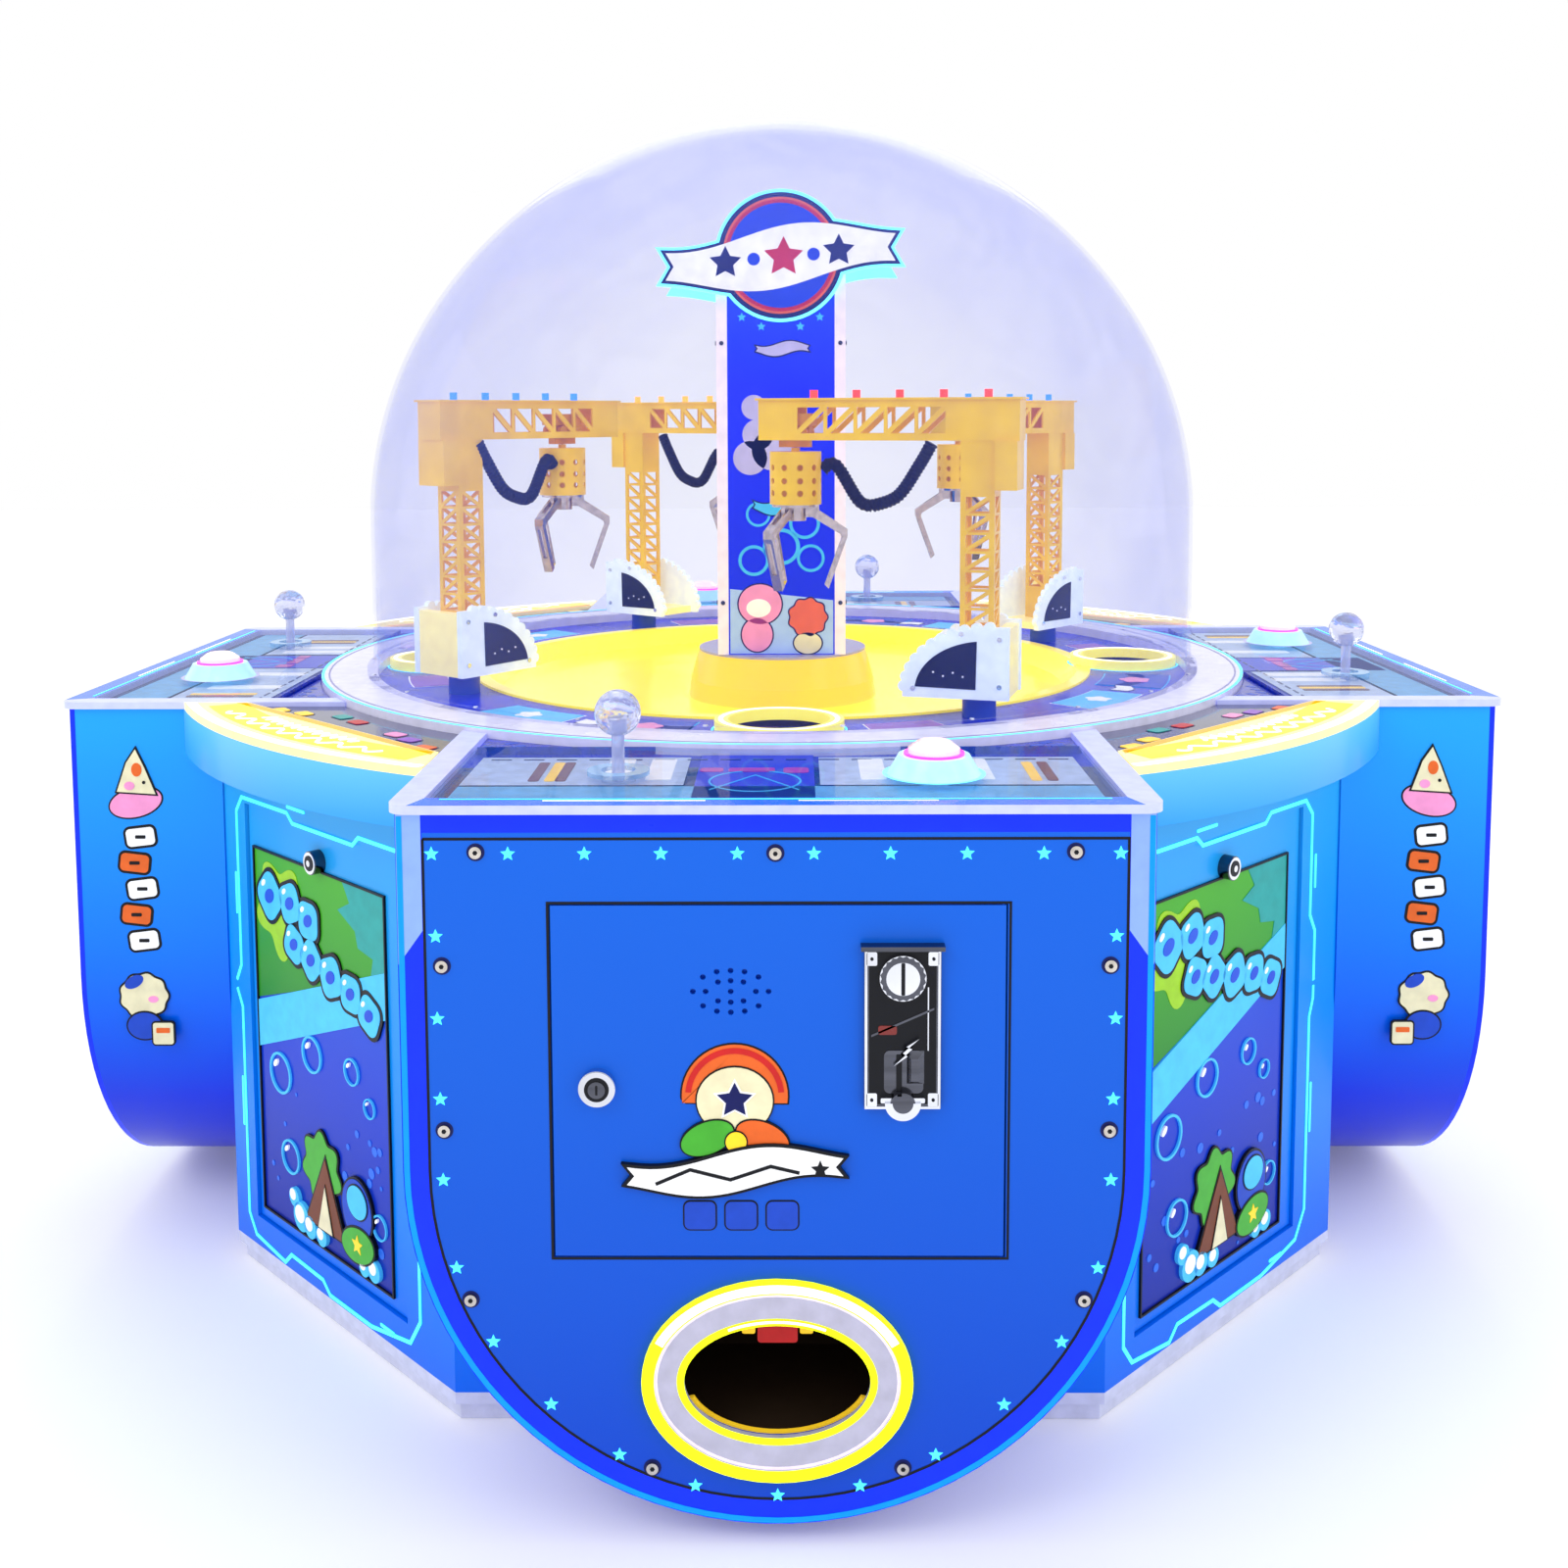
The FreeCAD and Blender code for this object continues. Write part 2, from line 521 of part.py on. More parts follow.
def domed_solid(foot, inset):
    """The dome's solid, moved in by inset: a shoulder arc runs into a crown arc at a tangent."""
    reach, shoulder = size("dome_radius"), size("dome_shoulder")
    shoulder_arc, rise = size("dome_bend"), size("dome_height") - shoulder
    side = reach - shoulder_arc
    crown_arc = (side ** 2 + rise ** 2 - shoulder_arc ** 2) / (2 * (rise - shoulder_arc))
    crown_centre = Vector(0, 0, shoulder + rise - crown_arc)
    shoulder_centre = Vector(side, 0, shoulder)
    way = (shoulder_centre - crown_centre).normalize()
    meeting = crown_centre + way * (crown_arc - inset)
    top = Vector(0, 0, shoulder + rise - inset)
    edge = Vector(reach - inset, 0, shoulder)

    def bulge(centre, radius, first, second):
        return centre + ((first - centre) + (second - centre)).normalize() * radius

    crown_middle = bulge(crown_centre, crown_arc - inset, top, meeting)
    side_middle = bulge(shoulder_centre, shoulder_arc - inset, meeting, edge)
    corners = [edge, Vector(reach - inset, 0, foot), Vector(0, 0, foot), top]
    edges = [Part.Arc(top, crown_middle, meeting).toShape(),
             Part.Arc(meeting, side_middle, edge).toShape()]
    edges += [Part.LineSegment(a, b).toShape() for a, b in zip(corners, corners[1:])]
    outline = Part.Wire(Part.__sortEdges__(edges))
    return Part.Face(outline).revolve(Vector(), Z_AXIS, 360)


def build_bowl():
    floor = "deck_top - bowl_depth"
    bowl = spun("bowl_spun", [
        (0, floor), ("pedestal_radius + 8", floor),
        ("bowl_mouth - 130", "%s + 8" % floor), ("bowl_mouth - 20", "deck_top - bowl_dish"),
        ("bowl_mouth", "deck_top"), ("bowl_rim", "deck_top"),
        ("bowl_rim", "deck_top + bowl_wall"), ("bowl_mouth - 3", "deck_top + bowl_wall"),
        ("bowl_mouth - 22", "deck_top - bowl_dish + bowl_wall"),
        ("bowl_mouth - 131", "%s + 8 + bowl_wall" % floor),
        ("pedestal_radius + 8", "%s + bowl_wall" % floor), (0, "%s + bowl_wall" % floor)])
    notch = rod("bowl_notch", "chute_ring + 0.5", 60, (0, "-chute_reach", "deck_top - 30"))
    node("prize_bowl", cut("bowl", bowl, group("bowl_notches", *four("bowl_notch", notch))))

    base = "%s + bowl_wall" % floor
    top = "disc_top - disc_thick"
    pedestal = spun("pedestal_spun", [
        (0, base), ("pedestal_radius", base), ("pedestal_radius - 3", "%s + 24" % base),
        ("column_disc + 4", "%s - 12" % top), ("column_disc", top), (0, top)])
    node("pedestal", pedestal)


def build_column():
    disc = rod("column_foot", "column_disc", "disc_thick", (0, 0, "disc_top - disc_thick"))
    tall = "column_top - disc_top"
    tube = cut("column_tube", box("column_outer", ("-column_half", "-column_half", "disc_top"),
                                  "2 * column_half", "2 * column_half", tall),
               box("column_inner", ("-column_half + column_wall", "-column_half + column_wall",
                                    "disc_top - 1"), "2 * (column_half - column_wall)",
                   "2 * (column_half - column_wall)", "%s - column_wall" % tall))
    strip = cut("corner_strip",
                box("strip_outer", ("-column_half - strip_thick", "-column_half - strip_thick",
                                    "disc_top"), "strip_width", "strip_width", tall),
                box("strip_inner", ("-column_half", "-column_half", "disc_top - 1"),
                    "strip_width", "strip_width", "%s + 2" % tall))
    node("center_column", disc, tube, *four("corner_strip", strip))

    back = "-column_half - strip_thick - sign_thick"
    disc = rod("sign_disc", "sign_radius", "sign_thick", (0, back, "sign_height"), "y")
    wing = box("sign_wing_plate", ("-sign_wing", back, "sign_height - sign_tall / 2"),
               "2 * sign_wing", "sign_thick", "sign_tall")
    pad = box("sign_pad", (-40, "-column_half - strip_thick", "sign_height - 60"), 80,
              "strip_thick", 48)
    sign = fuse("header_sign", disc, wing, pad)
    node("signs", sign, group("back_sign", sign, placement=turned(180)))


# ---------------------------------------------------------------- controls

def build_controls(trim, station_panel):
    """Per station: the glass, the joystick's ears and washer, and the button's base."""
    glass = box("glass_blank", ("-glass_half_width", "-trim_reach + trim_bar + lift_gap * 3",
                                "deck_top"), "2 * glass_half_width",
                "trim_reach - trim_bar - lift_gap * 3 - glass_back", "trim_thick")
    stick = ("stick_side", "-stick_reach")
    press = ("button_side", "-button_reach")
    low = "deck_top - 1"
    glass = cut("control_glass", glass,
                rod("glass_ring_hole", "ring_outer + seam_gap", 20, (0, 0, low)),
                rod("glass_stick_hole", "stick_hole", 20, (*stick, low)),
                rod("glass_button_hole", "barrel_radius", 20, (*press, low)))
    washer_low = "deck_top + trim_thick"
    washer = cut("dust_washer", rod("washer_disc", "washer_radius", "washer_thick",
                                    (*stick, washer_low)),
                 rod("washer_hole", "stick_hole", 20, (*stick, low)))
    ears = []
    for number, side in enumerate(("stick_side - ear_side",
                                   "stick_side + ear_side - ear_thick")):
        ear = box("stick_ear%d_blank" % number, (side, "-stick_reach - ear_half", "pivot_height - 12"),
                  "ear_thick", "2 * ear_half", "deck_top - pivot_height + 12")
        bore = rod("stick_ear%d_bore" % number, "pivot_pin + run_gap", 80,
                   ("stick_side - 40", "-stick_reach", "pivot_height"), "x")
        ears.append(cut("stick_ear%d" % number, ear, bore))
    base_low = "deck_top + trim_thick"
    cone = tapered("button_cone", "button_base", "button_cap + button_ring + 5", "base_tall",
                   (*press, base_low))
    sleeve = rod("button_sleeve", "barrel_radius", "trim_thick + 24", (*press, "deck_top - 24"))
    base = cut("button_base_body", fuse("button_base_blank", cone, sleeve),
               rod("button_stem_bore", "button_stem + run_gap", 80, (*press, "deck_top - 40")),
               rod("button_well", "button_cap + lift_gap * 2", 30,
                   (*press, "deck_top + trim_thick + 8")))
    ring_low = "deck_top + trim_thick + base_tall"
    light = cut("button_light", rod("button_light_outer", "button_cap + button_ring", 2,
                                    (*press, ring_low)),
                rod("button_light_inner", "button_cap + lift_gap * 2", 10,
                    (*press, "deck_top + trim_thick + 14")))
    node("control_panels", *four("controls", glass, washer, *ears, base, light, trim,
                                 station_panel))

    frame = cut("gimbal_frame",
                box("gimbal_blank", ("stick_side - 20", "-stick_reach - 17", "pivot_height - 5"),
                    40, 34, 10),
                box("gimbal_hole", ("stick_side - 13", "-stick_reach - 11", "pivot_height - 6"),
                    26, 22, 12),
                rod("gimbal_bore", "pivot_pin + run_gap", 60,
                    ("stick_side", "-stick_reach - 30", "pivot_height"), "y"))
    gimbal_pins = [rod("gimbal_pin%d" % number, "pivot_pin", 8,
                       (side, "-stick_reach", "pivot_height"), "x")
                   for number, side in enumerate(("stick_side - ear_side",
                                                  "stick_side + ear_side - 8"))]
    gimbal = fuse("gimbal", frame, *gimbal_pins)

    shaft = rod("stick_shaft", 4, 30, (*stick, "pivot_height - 14"))
    knuckle = rod("stick_knuckle", 7.5, 8, (*stick, "pivot_height - 4"))
    cross = rod("stick_cross_pin", "pivot_pin", 33,
                ("stick_side", "-stick_reach - 16.5", "pivot_height"), "y")
    clear_rod = rod("stick_rod", "rod_radius", "ball_height - pivot_height - 16",
                    (*stick, "pivot_height + 12"))
    ball = make("Part::Sphere", "stick_ball", {"Radius": "ball_radius"}, (*stick, "ball_height"))
    joystick = fuse("joystick", shaft, knuckle, cross, clear_rod)
    knob = cut("stick_knob", ball, rod("knob_bore", "rod_radius", 30, (*stick, "ball_height - 34")))

    cap_low = "deck_top + trim_thick + 13"
    cap = rod("button_cap_body", "button_cap", "button_tall - 19", (*press, cap_low))
    crown = tapered("button_crown", "button_cap", "button_cap - 8", 6,
                    (*press, "deck_top + trim_thick + button_tall - 6"))
    stem = rod("button_stem_rod", "button_stem", 45, (*press, "deck_top - 28"))
    button = fuse("push_button", cap, crown, stem)
    for side, angle in STATION_TURN.items():
        node("gimbal_" + side, gimbal, placement=turned(angle))
        node("joystick_" + side, joystick, knob, placement=turned(angle))
        node("button_" + side, button, placement=turned(angle))


# ---------------------------------------------------------------- doors

def build_coin_door():
    slab = box("coin_slab", ("door_left", "-station_face", "door_low"), "door_right - door_left",
               "front_thick", "door_high - door_low")
    pin_spot = ("door_right - 2", "-station_face + front_thick / 2")
    pins = [rod("coin_pin_low", "door_pin", 12, (*pin_spot, "door_low - 6")),
            rod("coin_pin_high", "door_pin", 12, (*pin_spot, "door_high - 6"))]
    lock_spot = ("lock_side", "-station_face - 8", "lock_height")
    lock_hole = rod("lock_hole", "lock_barrel", 60, lock_spot, "y")
    holes = []
    rows = ((0, (-32.7, -21.7, 0, 21.7, 32.7)), (12.8, (-24, 24)), (-12.8, (-24, 24)),
            (17.5, (-12, 12)), (-17.5, (-12, 12)), (18.5, (0,)), (-18.5, (0,)),
            (8.4, (-11, 11)), (-8.4, (-11, 11)), (9.5, (0,)), (-9.5, (0,)))
    for height, sides in rows:
        for side in sides:
            holes.append(rod("speaker_hole%d" % len(holes), "speaker_bore", 20,
                             ("speaker_side + %s" % side, "-station_face - 5",
                              "speaker_height + %s" % height), "y"))
    pocket = box("acceptor_pocket", ("acceptor_side - case_half", "-station_face - 1",
                                     "acceptor_low + 8"), "2 * case_half", "front_thick + 2",
                 "acceptor_high - acceptor_low - 16")
    slab = cut("coin_door_slab", fuse("coin_door_blank", slab, *pins), lock_hole, pocket,
               group("speaker_holes", *holes))
    lock = fuse("coin_lock", rod("lock_bezel_ring", "lock_bezel", 8, lock_spot, "y"),
                rod("lock_barrel_rod", "lock_barrel", 38, lock_spot, "y"))
    speaker = rod("speaker", "speaker_radius", 26, ("speaker_side", "-station_face + front_thick",
                                      "speaker_height"), "y")

    slot_height = "acceptor_high - 28"
    face = box("acceptor_face_blank", ("acceptor_side - acceptor_half", "-station_face - 6",
                                       "acceptor_low"), "2 * acceptor_half", 6,
               "acceptor_high - acceptor_low")
    flare = box("acceptor_flare", ("acceptor_side - acceptor_half - 3", "-station_face - 12",
                                   "acceptor_high - 4"), "2 * acceptor_half + 6", 12, 4)
    tongue = rod("acceptor_tongue", 11, 14, ("acceptor_side", "-station_face - 14",
                                             "acceptor_low + 6"), "y")
    slot = box("coin_slot", ("acceptor_side - slot_width / 2", "-station_face - 40",
                             "%s - slot_tall / 2" % slot_height), "slot_width", 80, "slot_tall")
    cup = box("return_slot", ("acceptor_side - 5", "-station_face - 40", "acceptor_low + 14"), 4,
              35, 34)
    face = cut("acceptor_face", fuse("acceptor_shape", face, flare, tongue), slot, cup)
    insert = cut("slot_insert", rod("slot_knob_disc", "slot_knob", 5,
                                    ("acceptor_side", "-station_face - 11", slot_height), "y"),
                 slot)
    body = cut("acceptor_body", box("acceptor_case", ("acceptor_side - case_half", "-station_face",
                                                      "acceptor_low + 8"), "2 * case_half",
                                    "case_deep", "acceptor_high - acceptor_low - 16"),
               box("coin_path", ("acceptor_side - slot_width / 2", "-station_face - 1",
                                 "%s - slot_tall / 2" % slot_height), "slot_width", 40, "slot_tall"))
    lever = make("Part::Wedge", "return_lever", {
        "Xmin": 0, "Xmax": 16, "Ymin": 0, "Ymax": 5, "Zmin": 0, "Zmax": 30, "X2min": 4,
        "X2max": 10, "Z2min": 6, "Z2max": 26},
        ("acceptor_side + 3", "-station_face - 6", "acceptor_low + 52"), (Vector(1, 0, 0), 180))
    members = [slab, lock, speaker, face, insert, body, lever]
    for side, angle in STATION_TURN.items():
        node("coin_door_" + side, *members, placement=turned(angle))


def build_service_door():
    outer_face = "-diagonal_reach + service_recess"
    slab = box("service_slab", ("service_left", outer_face, "service_low"),
               "service_right - service_left", "service_thick", "service_high - service_low")
    pin_at = ("%s + service_thick / 2" % outer_face, "service_low + service_thick / 2")
    pins = [rod("service_pin_%s" % end, "service_pin", 20, (start, *pin_at), "x")
            for end, start in (("a", "service_left - 8"), ("b", "service_right - 12"))]
    middle = "(service_left + service_right) / 2"
    lock_at = (middle, "-diagonal_reach - 8", "service_high - 35")
    hole = rod("service_lock_hole", "service_barrel", 60, lock_at, "y")
    slab = cut("service_door_slab", fuse("service_blank", slab, *pins), hole)
    lock = fuse("service_lock_body",
                rod("service_lock_head", "service_lock", "8 + service_recess", lock_at, "y"),
                rod("service_lock_barrel", "service_barrel", 34, lock_at, "y"))
    for side, angle in STATION_TURN.items():
        node("side_door_" + CORNER_NAME[side], slab, lock, placement=turned(angle - 45))


# ---------------------------------------------------------------- crane

def zigzag_windows(start, end, low, high, cells, bar):
    """Triangles between the bars of a zigzag lattice, as (along, across) corner lists."""
    pitch = (end - start) / cells
    windows = []
    for cell in range(cells):
        a, b = start + cell * pitch + bar / 2, start + (cell + 1) * pitch - bar / 2
        windows.append([(a, low), (b - bar, low), (a, high - bar)])
        windows.append([(b, high), (a + bar, high), (b, low + bar)])
    return windows


def lattice(name, windows, upright, thick):
    """Prisms through a lattice: upright ones run along Z, the others along X."""
    prisms = []
    for corners in windows:
        for facing in ((0, 1) if upright else (0,)):
            points = []
            for along, across in corners:
                spot = (across, along) if upright else (along, across)
                points.append(Vector(0, spot[0], spot[1]) if facing
                              else Vector(spot[0], 0, spot[1]))
            way = Vector(1, 0, 0) if facing else Vector(0, 1, 0)
            moved = [point - way * thick for point in points]
            prisms.append(Part.Face(Part.makePolygon(moved + moved[:1])).extrude(way * 2 * thick))
    return feature(name, Part.Compound(prisms))


def build_mast():
    """The turning part of a crane, drawn with its pivot on the Z axis and its jib along +X."""
    post = fuse("crane_post", rod("post_drum", "post_radius", "boot_low - deck_top - lift_gap",
                                  (0, 0, "deck_top + lift_gap")),
                rod("post_spindle", "spindle_radius", 40, (0, 0, "deck_top - 35")))
    inner_half = "boot_half - side_plate"
    floor = box("boot_floor", ("-boot_back + 2", "-(%s)" % inner_half, "boot_low"),
                "boot_back + boot_front - 12", "2 * (%s)" % inner_half, 10)
    rear = box("boot_rear", ("-boot_back + 2", "-(%s)" % inner_half, "boot_low + 10"), 14,
               "2 * (%s)" % inner_half, "boot_high - boot_low - 14")
    boot = fuse("boot_body", floor, rear)
    cheeks = []
    for name, side in (("left", "-boot_half"), ("right", inner_half)):
        curve = oval("cheek_%s_curve" % name, "boot_front + 22", "boot_high - boot_low - 4",
                     "side_plate", (-22, side, "boot_low + 4"))
        window = box("cheek_%s_window" % name, (-22, "-boot_half - 1", "boot_low"),
                     "boot_front + 30", "2 * boot_half + 2", "boot_high - boot_low")
        back = box("cheek_%s_back" % name, ("-boot_back", side, "boot_low"), "boot_back - 22",
                   "side_plate", "boot_high - boot_low")
        cheeks.append(fuse("cheek_" + name, common("cheek_%s_front" % name, curve, window), back))

    tower_low, tower_top = size("boot_low") + 10, size("jib_low")
    half, wall = size("tower_half"), size("tower_wall")
    tube = cut("tower_tube", box("tower_outer", ("-tower_half", "-tower_half", "boot_low + 10"),
                                 "2 * tower_half", "2 * tower_half", "jib_low - boot_low - 10"),
               box("tower_inner", ("-tower_half + tower_wall", "-tower_half + tower_wall",
                                   "boot_low"), "2 * (tower_half - tower_wall)",
                   "2 * (tower_half - tower_wall)", "jib_low"))
    windows = zigzag_windows(tower_low + 45, tower_top - 60, -half + 6, half - 6, 8, 3)
    tower = cut("tower", tube, lattice("tower_windows", windows, True, half + wall))

    channel = box("jib_outer", ("-jib_tail", "-jib_half", "jib_low"), "jib_tail + jib_nose",
                  "2 * jib_half", "jib_high - jib_low")
    hollow = box("jib_inner", ("-jib_tail + jib_wall", "-jib_half + jib_wall", "jib_low + jib_wall"),
                 "jib_tail + jib_nose - 2 * jib_wall", "2 * (jib_half - jib_wall)",
                 "jib_high - jib_low - 2 * jib_wall")
    slot = box("jib_slot_cut", (60, "-jib_slot", "jib_low - 1"), "jib_nose - 66", "2 * jib_slot",
               "jib_wall + 2")
    jib_windows = zigzag_windows(34, size("jib_nose") - 44, size("jib_low") + 8,
                                 size("jib_high") - 8, 5, 4)
    jib = cut("jib", channel, hollow, slot,
              lattice("jib_windows", jib_windows, False, size("jib_half") + 5))
    strip = box("jib_strip", ("-jib_tail - strip_over", "-jib_half - strip_over", "jib_high"),
                "jib_tail + jib_nose + 2 * strip_over", "2 * (jib_half + strip_over)", 2.5)
    lamps = [rod("jib_lamp%d" % number, "lamp_radius", "lamp_tall",
                 ("%d * lamp_pitch - lamp_start" % number, 0, "jib_high + 2.5")) for number in range(5)]
    motor = box("hoist_motor", ("-jib_tail + 2", "-motor_half", "jib_low - motor_tall"),
                "jib_tail - tower_half - 2", "2 * motor_half", "motor_tall")
    return [post, boot, *cheeks, tower, jib, strip, *lamps, motor]


def build_trolley():
    axle_height = "jib_low + jib_wall + wheel_radius + lift_gap"
    carriage = box("carriage", (-22, -13, "%s + 7" % axle_height), 44, 26, 14)
    web = box("carriage_web", (-18, -6, "jib_low - 8"), 36, 12, "%s + 8 - jib_low + 8" % axle_height)
    axles = [rod("trolley_axle%d" % number, "axle_radius", 32, (place, -16, axle_height), "y")
             for number, place in enumerate(("-axle_spread", "axle_spread"))]
    frame = fuse("trolley_frame", carriage, web, *axles)
    wheels = []
    for place in ("-axle_spread", "axle_spread"):
        for side in (-16, 10):
            number = len(wheels)
            tyre = rod("wheel_tyre%d" % number, "wheel_radius", 6, (place, side, axle_height), "y")
            bore = rod("wheel_bore%d" % number, "axle_radius", 8, (place, side - 1, axle_height), "y")
            wheels.append(cut("trolley_wheel%d" % number, tyre, bore))
    return [frame, *wheels]


def build_claw_head():
    low, high = "head_low", "head_high"
    tall = "head_high - head_low"
    shell = cut("head_cup", rod("head_outer", "head_radius", tall, (0, 0, low)),
                rod("head_inner", "head_radius - head_wall", "%s - head_wall" % tall, (0, 0, low)))
    drills = []
    for above in (13, 27, 42):
        for number in range(5):
            length = 2 * size("head_radius") + 4
            way = Vector(math.cos(math.radians(36 * number + 9)),
                         math.sin(math.radians(36 * number + 9)), 0)
            start = Vector(0, 0, size("head_low") + above) - way * (length / 2)
            drills.append(Part.makeCylinder(size("drill_radius"), length, start, way))
    shell = cut("head_shell", shell, feature("head_drills", Part.Compound(drills)))
    neck = rod("head_neck", 5, 4.5, (0, 0, high))
    solenoid = rod("solenoid", "solenoid_radius", "%s - head_wall" % tall, (0, 0, low))
    plate = rod("hub_plate", "head_radius - 2.5", 3, (0, 0, "head_low - 3"))
    core = rod("hub_core", "hub_radius", 16, (0, 0, "head_low - 19"))
    lugs = []
    for number in range(3):
        blank = box("lug_blank%d" % number, (8, "-lug_thick / 2", "lug_height - 5"),
                    "lug_reach - 3", "lug_thick", "head_low - lug_height + 2")
        bore = rod("lug_bore%d" % number, "claw_pin + run_gap", 30,
                   ("lug_reach", -15, "lug_height"), "y")
        lug = cut("lug%d" % number, blank, bore)
        lugs.append(group("lug_turned%d" % number, lug,
                          placement=turned(FINGER_PHASE + 120 * number)))
    hub = fuse("claw_hub", plate, core, *lugs)
    return [shell, neck, solenoid, hub]


def build_finger():
    """One finger, drawn on the +X side of the claw: two bars out to the knee, then down."""
    blank = sheet_piece("finger_blank", [
        ("lug_reach - 4", "lug_height + 2"), ("lug_reach + 2", "lug_height + 4.5"),
        ("knee_reach + 3.5", "knee_height + 3"), ("knee_reach + 3.5", "knee_height - 5"),
        ("tip_reach", "tip_height - 2"), ("tip_reach - 5", "tip_height + 3"),
        ("knee_reach - 3.5", "knee_height - 6"), ("knee_reach - 5", "knee_height - 2"),
        ("lug_reach - 2", "lug_height - 5")], "finger_half")
    upper_slot = box("finger_upper_slot", ("lug_reach - 8", "-finger_slot", "knee_height - 5"),
                     "knee_reach - lug_reach", "2 * finger_slot", 40)
    lower_slot = box("finger_lower_slot", ("tip_reach", "-finger_slot", "tip_height + 16"), 40,
                     "2 * finger_slot", "knee_height - tip_height - 26")
    pin = rod("finger_pin", "claw_pin", "2 * finger_half", ("lug_reach", "-finger_half",
                                                            "lug_height"), "y")
    return fuse("finger", cut("finger_bars", blank, upper_slot, lower_slot), pin)


def build_cranes():
    mast, trolley, head, finger = build_mast(), build_trolley(), build_claw_head(), build_finger()
    azimuth = math.radians(CRANE_AZIMUTH)
    pivot = Vector(math.cos(azimuth), math.sin(azimuth), 0) * size("crane_reach")
    for side, angle in STATION_TURN.items():
        heading, reach = CRANE_REST[side]
        mast_place = turned(angle) * Placement(pivot, Rotation(Z_AXIS, heading))
        claw_place = mast_place * Placement(Vector(reach, 0, 0), Rotation())
        node("crane_mast_" + side, *mast, placement=mast_place)
        node("trolley_" + side, *trolley, placement=claw_place)
        node("claw_head_" + side, *head, placement=claw_place)
        for number in range(3):
            node("claw_finger_%s_%d" % (side, number + 1), finger,
                 placement=claw_place * turned(FINGER_PHASE + 120 * number))


build_cabinet()
top_trim = build_station()
build_outlets()
build_chutes()
station_panel = build_deck()
build_ring_and_dome()
build_bowl()
build_column()
build_controls(top_trim, station_panel)
build_coin_door()
build_service_door()
build_cranes()
doc.recompute()

faults = [obj.Name for obj in doc.Objects if "Invalid" in obj.State or "Error" in obj.State]
for sub_part in nodes:
    if sub_part.Shape.isNull() or not sub_part.Shape.isValid() or not sub_part.Shape.Solids:
        faults.append(sub_part.Label)
if faults:
    raise RuntimeError("failed objects: " + ", ".join(faults))

os.makedirs("parts", exist_ok=True)
for sub_part in nodes:
    sub_part.Shape.exportStep("parts/%s.step" % sub_part.Label)
print(len(nodes), "nodes written")
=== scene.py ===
"""Looks of the four-player dome crane machine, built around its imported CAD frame. Metres."""
import math
import random

import bmesh
import bpy
from mathutils import Matrix, Vector


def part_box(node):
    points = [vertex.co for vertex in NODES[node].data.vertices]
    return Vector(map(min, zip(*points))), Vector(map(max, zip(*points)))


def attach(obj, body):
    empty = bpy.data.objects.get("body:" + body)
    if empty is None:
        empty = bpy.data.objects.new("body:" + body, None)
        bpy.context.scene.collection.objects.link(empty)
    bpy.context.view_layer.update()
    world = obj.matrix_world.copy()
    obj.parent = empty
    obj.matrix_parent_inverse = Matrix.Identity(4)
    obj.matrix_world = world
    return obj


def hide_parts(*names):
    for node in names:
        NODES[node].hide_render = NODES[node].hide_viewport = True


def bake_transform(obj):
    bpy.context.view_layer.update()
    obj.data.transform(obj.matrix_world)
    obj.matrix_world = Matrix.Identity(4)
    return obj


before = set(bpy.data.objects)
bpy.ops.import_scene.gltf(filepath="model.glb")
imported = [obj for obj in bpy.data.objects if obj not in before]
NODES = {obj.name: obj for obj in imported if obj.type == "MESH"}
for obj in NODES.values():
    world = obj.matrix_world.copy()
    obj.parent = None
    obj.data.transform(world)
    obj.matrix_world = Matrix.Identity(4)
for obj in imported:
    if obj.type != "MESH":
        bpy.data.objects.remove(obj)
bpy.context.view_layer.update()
scene = bpy.context.scene
SIDES = {"front": 0, "left": -90, "back": 180, "right": 90}
CORNERS = {"front": "front_left", "left": "back_left", "back": "back_right",
    "right": "front_right"}
FINGERS = (1, 2, 3)
LAYER = 0.0006  # how far each layer of a print stands over the one below


# ---------------------------------------------------------------- sizes read from the frame

def span(node, axis):
    low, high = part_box(node)
    return low[axis], high[axis]


# Distances from the machine's centre line or from the floor.
FACE = 0.825  # the front plates' outer side
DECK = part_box("canopies")[1].z - 0.008
GLASS_TOP = DECK + 0.008
RING_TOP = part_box("dome_ring")[1].z
DIAGONAL = 0.688  # the diagonal faces
DRUM_HALF = 0.326
OUTLET_HEIGHT = sum(span("prize_outlets", 2)) / 2
COLUMN_HALF = 0.081
SIGN_HEIGHT = 1.202
CHUTE_OUT = 0.46
GLASS_HALF = 0.302  # half the width of a control glass
GLASS_OUT = 0.8065  # where a control glass ends and its trim begins
# Places at the front station: across and out, or across and up.
STICK = (-0.146, 0.712)
BUTTON = (0.145, 0.712)
BALL_HEIGHT = 0.729
BADGE = (-0.036, 0.413)
DOOR_LOCK = (-0.0175, 0.523)
# Small steps: past a level face, from a face to a print's foot, and a print's thickness.
HAIR = 0.0005
BURIED = 0.0001
THIN = 0.0003
PRINT_ROUGH = 0.35
PRINT_COAT = 0.08
LOCK = (-0.155, 0.422)
SLOT = (0.109, 0.521)


# ---------------------------------------------------------------- camera, floor and light

